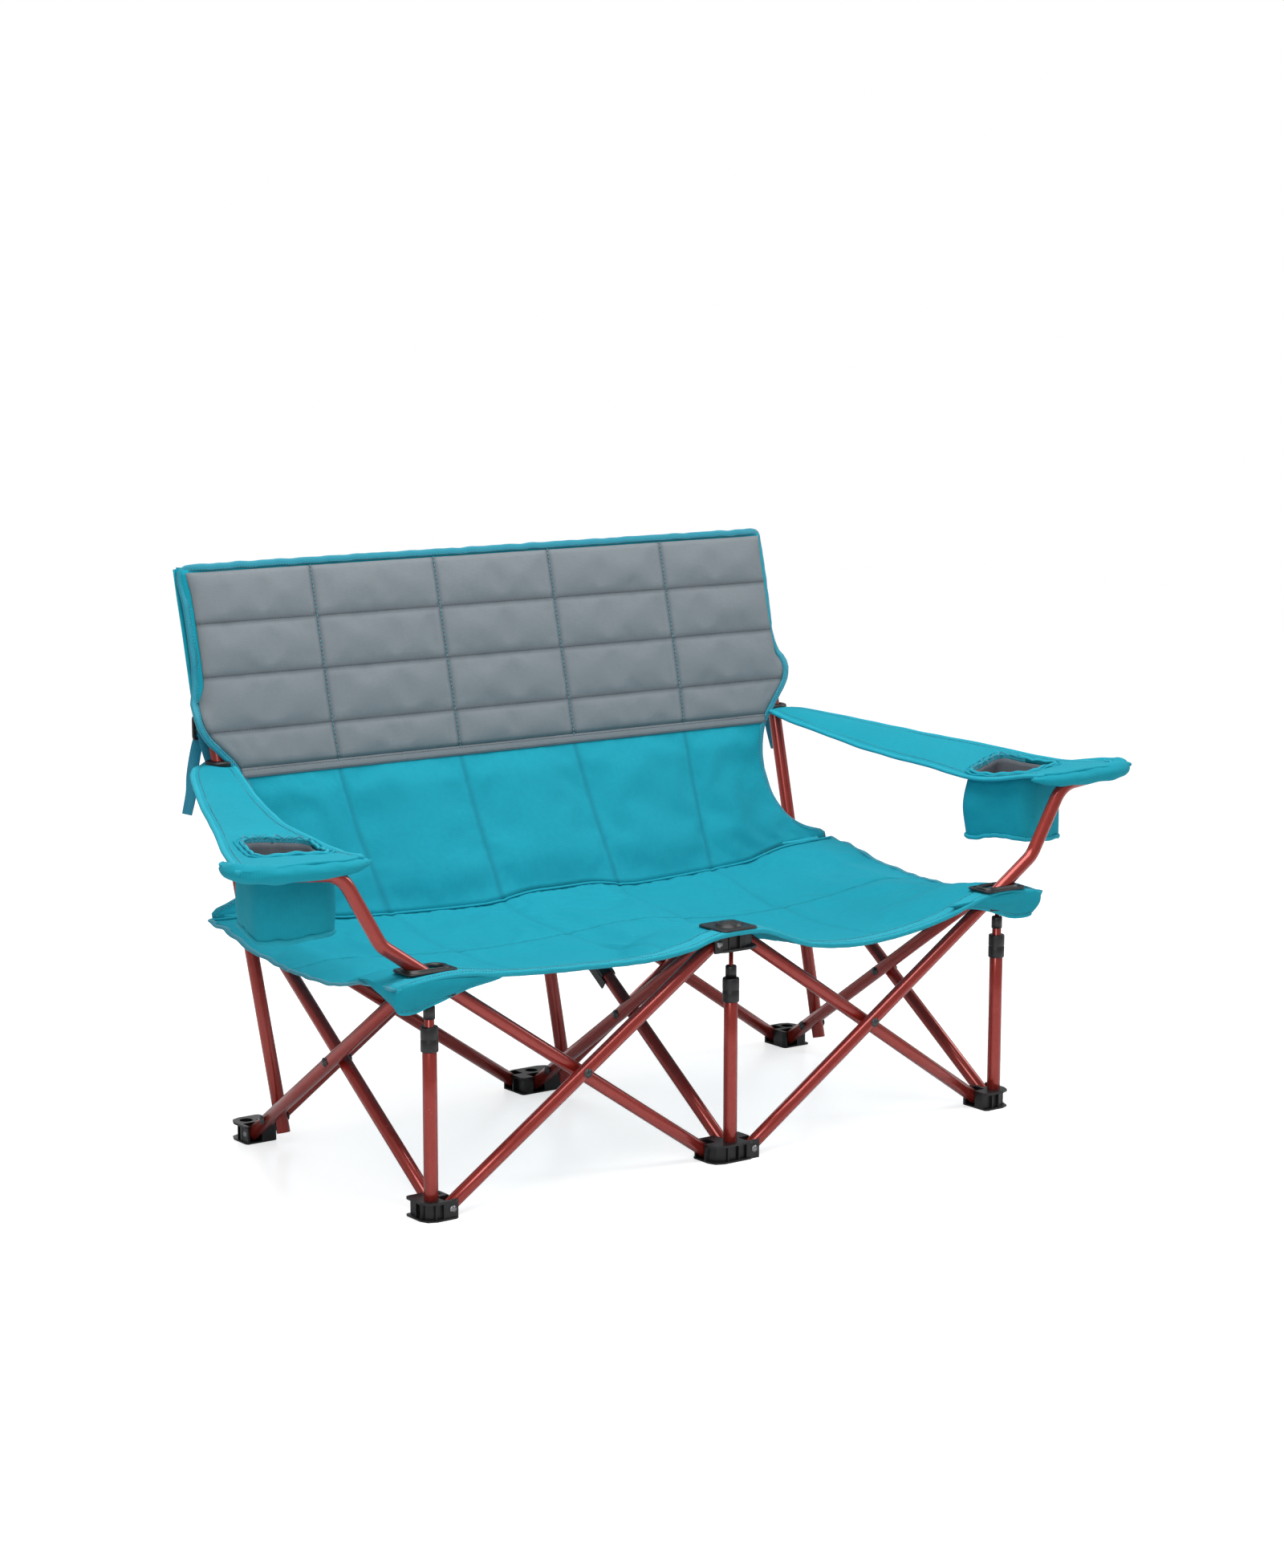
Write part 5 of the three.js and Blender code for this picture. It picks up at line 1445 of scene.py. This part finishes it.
def makeArmrestTop(side):
    grommet = grommetPlace(side)
    holeX, holeAlong = abs(grommet.x), grommet.y - armPlanes[side]
    rows, flat = [], []
    for along in steps(innerEdge[0][0], innerEdge[-1][0], armrest["cell"]):
        inner, outer = curveThrough(innerEdge, along), curveThrough(outerEdge, along)
        row = []
        for share in steps(0, 1, 1 / armrest["columns"]):
            x = mix(inner, outer, share)
            uneven = dent((x, along, 2), *armrest["uneven"]) * smoothStep(along / armrest["unevenFrom"])
            row.append(armPoint(side, x, along, uneven))
            flat.append((x, along))
        rows.append(row)

    def cutHoles(shape):
        shape.verts.ensure_lookup_table()
        inside = {index for index, (x, along) in enumerate(flat) if openingDistance(x, along) < 0
                  or math.hypot(x - holeX, along - holeAlong) < armrest["ringHole"]}
        gone = [face for face in shape.faces if any(vert.index in inside for vert in face.verts)]
        bmesh.ops.delete(shape, geom=gone, context="FACES")
        for vert in shape.verts:
            if not vert.is_boundary:
                continue
            x, along = abs(vert.co.x), vert.co.y - armPlanes[side]
            gap = openingDistance(x, along)
            if gap < armrest["openingReach"]:
                slopeX = openingDistance(x + 0.1 * mm, along) - gap
                slopeY = openingDistance(x, along + 0.1 * mm) - gap
                size = math.hypot(slopeX, slopeY)
                vert.co = armPoint(side, x - slopeX / size * gap, along - slopeY / size * gap)
            elif math.hypot(x - holeX, along - holeAlong) < armrest["ringReach"]:
                out = Vector((x - holeX, along - holeAlong)).normalized() * armrest["ringHole"]
                vert.co = armPoint(side, holeX + out.x, holeAlong + out.y)

    mesh = reshape(gridMesh(rows), cutHoles)
    piece = addCloth("armrest_top_" + side, mesh, tealCloth, f"{side}_armrest", armrest["thickness"],
                     ("armrest_" + side,))
    squashArm(piece)


def makeArmrestHems(side):
    hem = {"half": 4.2 * mm, "thick": 3.2 * mm, "from": 4 * mm, "to": 534 * mm, "cell": 6 * mm,
           "bulge": 3 * mm, "stitchInset": 9 * mm, "stitchFrom": 22 * mm, "stitchTo": 520 * mm,
           "stitchGap": 5 * mm, "stitchLift": 0.4 * mm, "uneven": (40 * mm, 1.2 * mm)}
    body = f"{side}_armrest"
    section = oval(hem["half"], hem["thick"], 12)
    for title, table, share in (("inner", innerEdge, 0), ("outer", outerEdge, 1)):
        path = [armPoint(side, curveThrough(table, along), along)
                for along in steps(hem["from"], hem["to"], hem["cell"])]
        path = [point + Vector((0, 0, dent((point.x, point.y, share), *hem["uneven"]))) for point in path]
        squashArm(addHem(f"armrest_edge_{title}_{side}", path, body, section))
    # the rear edge runs round behind the ring
    rear = []
    for share in steps(0, 1, 1 / 12):
        x = mix(innerEdge[-1][1], outerEdge[-1][1], share)
        rear.append(armPoint(side, x, innerEdge[-1][0] + hem["bulge"] * math.sin(math.pi * share)))
    squashArm(addHem(f"armrest_edge_rear_{side}", rear, body, section))
    lines = []
    for table, inward in ((innerEdge, 1), (outerEdge, -1)):
        line = []
        for along in steps(hem["stitchFrom"], hem["stitchTo"], hem["cell"]):
            x = curveThrough(table, along) + inward * hem["stitchInset"]
            if openingDistance(x, along) > hem["stitchGap"]:
                line.append(armPoint(side, x, along, armrest["thickness"] / 2 + hem["stitchLift"]))
        lines.append(line)
    squashArm(stitches("armrest_stitches_" + side, lines, tealThread, body))


def makeArmRoll(side):
    # the padded roll over the end of the arm tube: from its inner tip, round the outer corner, fading back
    roll = {"route": [(553, 10, 475), (570, 3, 474), (592, -3, 473), (625, -4, 473), (664, -2, 474),
                      (700, -1, 475), (727, 8, 477), (740, 28, 478), (733, 58, 477), (717, 90, 474),
                      (700, 122, 470)],
            "size": [(0, 0.1), (0.07, 0.38), (0.16, 0.68), (0.3, 0.92), (0.5, 1.02), (0.66, 0.96),
                     (0.78, 0.72), (0.9, 0.46), (1, 0.18)],
            "halfWidth": 15 * mm, "halfHeight": 12 * mm, "pipe": 1.9 * mm, "pipeAcross": 0.86, "pipeUp": 0.62,
            "crease": 0.07, "creaseTurns": 46, "creaseLean": 2.2,
            "uneven": 0.1, "unevenAlong": 14, "unevenRound": 1.7, "unevenStart": {"left": 5, "right": 11}}
    sign = armSides[side]
    body = f"{side}_armrest"
    route = [Vector((sign * x, armPlanes[side] + along, z)) for x, along, z in millimetres(roll["route"])]
    path = smoothPath(route, 9)
    rows, seam = [], []
    for i, (_, lift, sideways) in enumerate(pathFrames(path, (0, 0, 1))):
        share = i / (len(path) - 1)
        size = curveThrough(roll["size"], share)
        row = []
        for a, b in circle(1, 28):
            pull = math.sin(share * roll["creaseTurns"] + roll["creaseLean"] * b)
            crease = 1 + roll["crease"] * pull * (1 - abs(a)) * math.sin(math.pi * share)
            place = Vector((share * roll["unevenAlong"], a * roll["unevenRound"],
                            b * roll["unevenRound"] + roll["unevenStart"][side]))
            crease += roll["uneven"] * noise.noise(place)
            outward = sideways * a * roll["halfWidth"] + lift * b * roll["halfHeight"]
            row.append(path[i] + outward * size * crease)
        rows.append(row)
        # its piped seam runs along the back, on top
        backward = sideways if sideways.dot(Vector((-sign * 0.3, 1, 0))) >= 0 else -sideways
        seam.append(path[i] + backward * roll["halfWidth"] * size * roll["pipeAcross"]
                    + lift * roll["halfHeight"] * size * roll["pipeUp"])
    mesh = turnOutwards(gridMesh(rows, around=True, capped=True))
    piece = addPiece("armrest_roll_" + side, mesh, tealCloth, body)
    squashArm(piece)
    section = oval(roll["pipe"], roll["pipe"], 10)
    squashArm(addHem("armrest_roll_piping_" + side, seam[3:-2], body, section))


def fillInner(mesh, count):
    # closes the first loop of a disc
    def fill(shape):
        shape.verts.ensure_lookup_table()
        shape.faces.new([shape.verts[k] for k in range(count)])
        bmesh.ops.triangulate(shape, faces=[face for face in shape.faces if len(face.verts) > 4])

    return turnOutwards(reshape(mesh, fill))


cup = {"bottom": 376 * mm, "thickness": 2 * mm, "lining": 3.4 * mm, "liningThickness": 1 * mm,
       "floorLift": 5 * mm, "floorThickness": 1.6 * mm, "count": 96, "growTop": 3 * mm, "growFoot": 5 * mm,
       "belly": 3.5 * mm, "sag": 2.2 * mm, "crease": 1.6 * mm, "cornerShare": 0.05, "rimDrop": 3 * mm,
       "footWave": 4 * mm, "footUneven": 3 * mm, "liningDrop": 2 * mm, "liningFoot": 7 * mm,
       "liningPinch": 1.6 * mm, "liningUneven": 1.2 * mm, "pinchPoints": 1.6}


def gathered(k, waves):
    # waves along a gathered edge, from (height, step, start) entries
    return sum(height * math.sin(k * step + start) for height, step, start in waves)


def makeCupPocket(side):
    # down from the rim: straight walls that belly a little and end in a gathered hem
    body = f"{side}_armrest"
    count = cup["count"]
    rows = []
    for level in steps(0, 1, 0.05):
        grow = mix(cup["growTop"], cup["growFoot"], level) + cup["belly"] * math.sin(math.pi * level)
        row = []
        for k, (x, along) in enumerate(openingLoop(grow, count)):
            angle = 2 * math.pi * k / count
            sag = cup["sag"] * math.sin(3 * angle + 1.1) * math.sin(math.pi * level)
            place = Vector((math.cos(angle) * 2.2, math.sin(angle) * 2.2, level * 3))
            crease = cup["crease"] * noise.noise(place)
            out = Vector((x - opening["x"], along - opening["along"]))
            corner = max(abs(out.x * out.y) / out.length ** 2 - 0.3, 0)
            out *= 1 + (sag + crease) / max(out.length, 1e-6) + cup["cornerShare"] * level * corner
            top = armPoint(side, x, along).z - cup["rimDrop"]
            foot = cup["bottom"] + cup["footWave"] * math.sin(2 * angle + 0.6)
            foot += cup["footUneven"] * noise.noise(Vector((k * 0.11, 4, 0)))
            row.append(Vector((armSides[side] * (opening["x"] + out.x),
                               armPlanes[side] + opening["along"] + out.y, mix(top, foot, level))))
        rows.append(row)
    mesh = gridMesh(rows, around=True)
    piece = addCloth("cup_pocket_" + side, mesh, tealCloth, body, cup["thickness"], ("cup_holder_" + side,))
    squashArm(piece)
    middle = Vector((armSides[side] * opening["x"], armPlanes[side] + opening["along"],
                     cup["bottom"] + cup["floorLift"]))
    disc = [[middle.lerp(point, share) + Vector((0, 0, 2 * mm * (1 - share))) for point in rows[-2]]
            for share in (0.04, 0.3, 0.55, 0.8, 0.97)]
    mesh = fillInner(gridMesh(disc, around=True), count)
    piece = addCloth("cup_floor_" + side, mesh, liningCloth, body, cup["floorThickness"])
    squashArm(piece)
    makeCupFootHem(side, body, middle, rows[-1])
    makeCupLining(side, body, middle)


def makeCupFootHem(side, body, middle, foot):
    hem = {"half": (1.9 * mm, 3.4 * mm), "out": 1.5 * mm, "drop": 1 * mm,
           "waves": [(0.35 * mm, 1.31, 0), (0.7 * mm, 0.57, 1)]}
    path = []
    for k, point in enumerate(foot):
        flare = point - middle
        flare.z = 0
        wave = gathered(k, hem["waves"])
        path.append(point + flare.normalized() * (hem["out"] + wave) + Vector((0, 0, wave - hem["drop"])))
    mesh = sweepMesh(path, oval(*hem["half"], 10), closed=True)
    squashArm(addPiece("cup_foot_hem_" + side, mesh, litHemCloth, body))


def makeCupLining(side, body, middle):
    # grey lining with four upright seams
    rows = []
    for level in steps(0, 1, 0.07):
        row = []
        for k, (x, along) in enumerate(openingLoop(-cup["lining"], cup["count"])):
            seam = min(abs((k + 8) % 24 - 12), 12)
            pinch = cup["liningPinch"] * math.exp(-(seam / cup["pinchPoints"]) ** 2)
            point = armPoint(side, x, along)
            point.z = mix(point.z - cup["liningDrop"], cup["bottom"] + cup["liningFoot"], level)
            inward = middle - point
            inward.z = 0
            uneven = cup["liningUneven"] * noise.noise(Vector((k * 0.2, level * 4, 2)))
            row.append(point + inward.normalized() * (pinch + uneven))
        rows.append(row)
    mesh = gridMesh(rows, around=True)
    piece = addCloth("cup_lining_" + side, mesh, liningCloth, body, cup["liningThickness"])
    squashArm(piece)


def makeCupRim(side):
    body = f"{side}_armrest"
    # (name, distance from the opening, radius, lift, material)
    rings = [("inner", 0.5 * mm, 2.6 * mm, 3.0 * mm, litHemCloth),
             ("outer", 8.5 * mm, 2.0 * mm, 2.4 * mm, tealCloth)]
    ringWaves = [(0.8 * mm, 0.9, 0), (0.6 * mm, 0.37, 0)]
    for title, grow, radius, lift, material in rings:
        path = []
        for k, (x, along) in enumerate(openingLoop(grow, cup["count"])):
            path.append(armPoint(side, x, along, lift + gathered(k, ringWaves)))
        mesh = sweepMesh(path, oval(radius, radius * 0.9, 10), closed=True)
        squashArm(addPiece(f"cup_rim_{title}_{side}", mesh, material, body))
    # gathered elastic along the rear of the opening
    elastic = {"from": 22 * mm, "count": 240, "inset": 0.5 * mm, "thickness": 1.6 * mm,
               "foot": -3 * mm, "top": 6 * mm, "footSwing": 0.6 * mm, "topSwing": 1.9 * mm,
               "footInset": 2 * mm, "topWave": 1.2 * mm, "waves": [(1, 0.62, 0), (0.5, 0.41, 1)]}
    rear = sorted(pair for pair in openingLoop(-elastic["inset"], elastic["count"])
                  if pair[1] > opening["along"] + elastic["from"])
    rows = []
    for level in steps(0, 1, 0.2):
        row = []
        swing = mix(elastic["footSwing"], elastic["topSwing"], level)
        for k, (x, along) in enumerate(rear):
            wave = gathered(k, elastic["waves"])
            backward = wave * swing - elastic["footInset"] * (1 - level)
            lift = mix(elastic["foot"], elastic["top"], level) + wave * level * elastic["topWave"]
            row.append(armPoint(side, x, along + backward, lift))
        rows.append(row)
    piece = addCloth("cup_gathered_edge_" + side, gridMesh(rows), bindingTape, body, elastic["thickness"])
    squashArm(piece)


def makeGrommet(side):
    ring = {"profile": [(11.4, -3.4), (13, -4.2), (17, -4), (19, -3), (19.4, 1.4), (18.6, 3.4), (16.6, 4.3),
                        (14.8, 3.6), (13.6, 3.6), (12.4, 4.6), (11.4, 3.8)],
            "lift": 5 * mm, "lean": 0.75, "upright": Vector((0, -0.08, 1)), "sides": 40}
    sign = armSides[side]
    axis = (uprightAt(sign, 0.55) - uprightAt(sign, 0.5)).normalized()
    mesh = ringMesh(millimetres(ring["profile"]), grommetPlace(side) + Vector((0, 0, ring["lift"])),
                    axis.lerp(ring["upright"], ring["lean"]), ring["sides"])
    squashArm(addPiece("armrest_ring_" + side, mesh, nylon, f"{side}_armrest"))


for side in armSides:
    makeArmrestTop(side)
    makeArmrestHems(side)
    makeArmRoll(side)
    makeCupPocket(side)
    makeCupRim(side)
    makeGrommet(side)
print("stage: armrests and cup holders", flush=True)


# Rear tabs round the outer uprights, and the side straps

def makeRearTabs():
    tab = {"halfX": 44 * mm, "near": 30 * mm, "far": 27 * mm, "radius": 20 * mm, "thickness": 3 * mm,
           "hole": 12.5 * mm, "lift": 3.5 * mm, "ringLift": 5.1 * mm, "crown": 1.5 * mm,
           "uneven": (30 * mm, 1.2 * mm), "edge": (3.2 * mm, 2.8 * mm),
           "ring": [(10.6, -1.4), (16.5, -1.2), (17.2, 0.6), (15.6, 2.6), (13, 3), (10.6, 2.2)]}
    for side, sign in armSides.items():
        body = f"back_{side}_hub"
        upright = uprightAt(sign, seat["level"])
        halfY = (tab["near"] + tab["far"]) / 2
        middleY = backRow + (tab["far"] - tab["near"]) / 2
        centre = Vector((sign * bayWidth, middleY, seat["level"] + tab["lift"]))
        outer = roundedLoop(tab["halfX"], halfY, tab["radius"], 64)
        hole = [(upright.x - centre.x + a, upright.y - centre.y + b) for a, b in circle(tab["hole"], 64)]
        rows = []
        for level in (0, 0.12, 0.3, 0.5, 0.7, 0.88, 1):
            row = []
            for (x0, y0), (x1, y1) in zip(outer, hole):
                x, y = mix(x0, x1, level), mix(y0, y1, level)
                rise = tab["crown"] * math.sin(math.pi * level) + dent((x, y, 9), *tab["uneven"])
                row.append(centre + Vector((x, y, rise)))
            rows.append(row)
        piece = addCloth("rear_tab_" + side, gridMesh(rows, around=True), tealCloth, body, tab["thickness"])
        mesh = sweepMesh(rows[0], oval(*tab["edge"], 12), closed=True)
        addPiece(f"rear_tab_edge_{side}", mesh, litHemCloth, body)
        mesh = ringMesh(millimetres(tab["ring"]), upright + Vector((0, 0, tab["ringLift"])), sides=36)
        addPiece(f"rear_tab_ring_{side}", mesh, nylon, body)


strapSection = [(-1, -0.6), (-0.96, -1), (0, -1.1), (0.96, -1), (1, -0.6), (1, 0.6), (0.96, 1), (0, 1.1),
                (-0.96, 1), (-1, 0.6)]


def flatStrap(name, points, width, body, twist=0.0, thickness=1.5 * mm):
    path = smoothPath(points, 8)
    rows = []
    for i, (_, lift, sideways) in enumerate(pathFrames(path, (0, 1, 0.1))):
        angle = twist * i / (len(path) - 1)
        across = sideways * math.cos(angle) + lift * math.sin(angle)
        out = lift * math.cos(angle) - sideways * math.sin(angle)
        rows.append([path[i] + across * a * width / 2 + out * b * thickness / 2 for a, b in strapSection])
    return addPiece(name, turnOutwards(gridMesh(rows, around=True, capped=True)), strapTape, body)


def makeSideStraps():
    # places in millimetres: at a height, out and back from the upright, or near the buckle
    strap = {"width": 19 * mm, "tailWidth": 16 * mm, "tailTwist": 1.1, "buckle": (576, 6, 18)}
    for side, sign in armSides.items():
        body = f"{side}_upright"
        at = lambda z, out, back: uprightAt(sign, z * mm) + Vector((sign * out * mm, back * mm, 0))
        buckle = at(*strap["buckle"])
        near = lambda out, back, up: buckle + Vector((sign * out * mm, back * mm, up * mm))
        upper = flatStrap("side_strap_" + side, [at(628, 4, 14), at(608, 6, 17), near(0, 2, 12),
                                                 near(0, 1, -6)], strap["width"], body)
        lower = flatStrap("side_strap_lower_" + side, [near(0, -1, 0), at(552, 5, 17), at(532, 2, 17),
                                                       at(521, 0, 15)], strap["width"], body)
        tail = flatStrap("side_strap_tail_" + side, [near(0, 3, -3), near(5, 9, -30), near(13, 8, -66),
                                                     near(17, 5, -92), near(25, 4, -122)],
                         strap["tailWidth"], body, twist=strap["tailTwist"])
        makeBuckle(side, buckle, body)


def makeBuckle(side, centre, body):
    # a ladder buckle: a rounded frame with three bars
    # loops of (half width, half height, corner radius, depth)
    frameLoops = [(15, 17, 4, -2.2), (15.6, 17.6, 4.4, 0), (15, 17, 4, 2.2), (11.6, 13.6, 2.4, 2.4),
                  (11.2, 13.2, 2.2, 0), (11.6, 13.6, 2.4, -2.4)]
    rows = [[centre + Vector((x, depth, z)) for x, z in roundedLoop(halfX, halfZ, radius, 40)]
            for halfX, halfZ, radius, depth in millimetres(frameLoops)]
    addPiece("side_buckle_" + side, closedLoops(rows), nylon, body)
    for k, (height, bow) in enumerate(((-6.5, 0), (0, 2.4), (7, 0))):
        path = [centre + Vector((x * mm, bow * mm, height * mm)) for x in (-13, -6, 0, 6, 13)]
        addPiece(f"buckle_bar_{k}_{side}", sweepMesh(path, oval(2 * mm, 2.6 * mm, 12)), nylon, body)


makeRearTabs()
makeSideStraps()
print("stage: tabs and straps", flush=True)
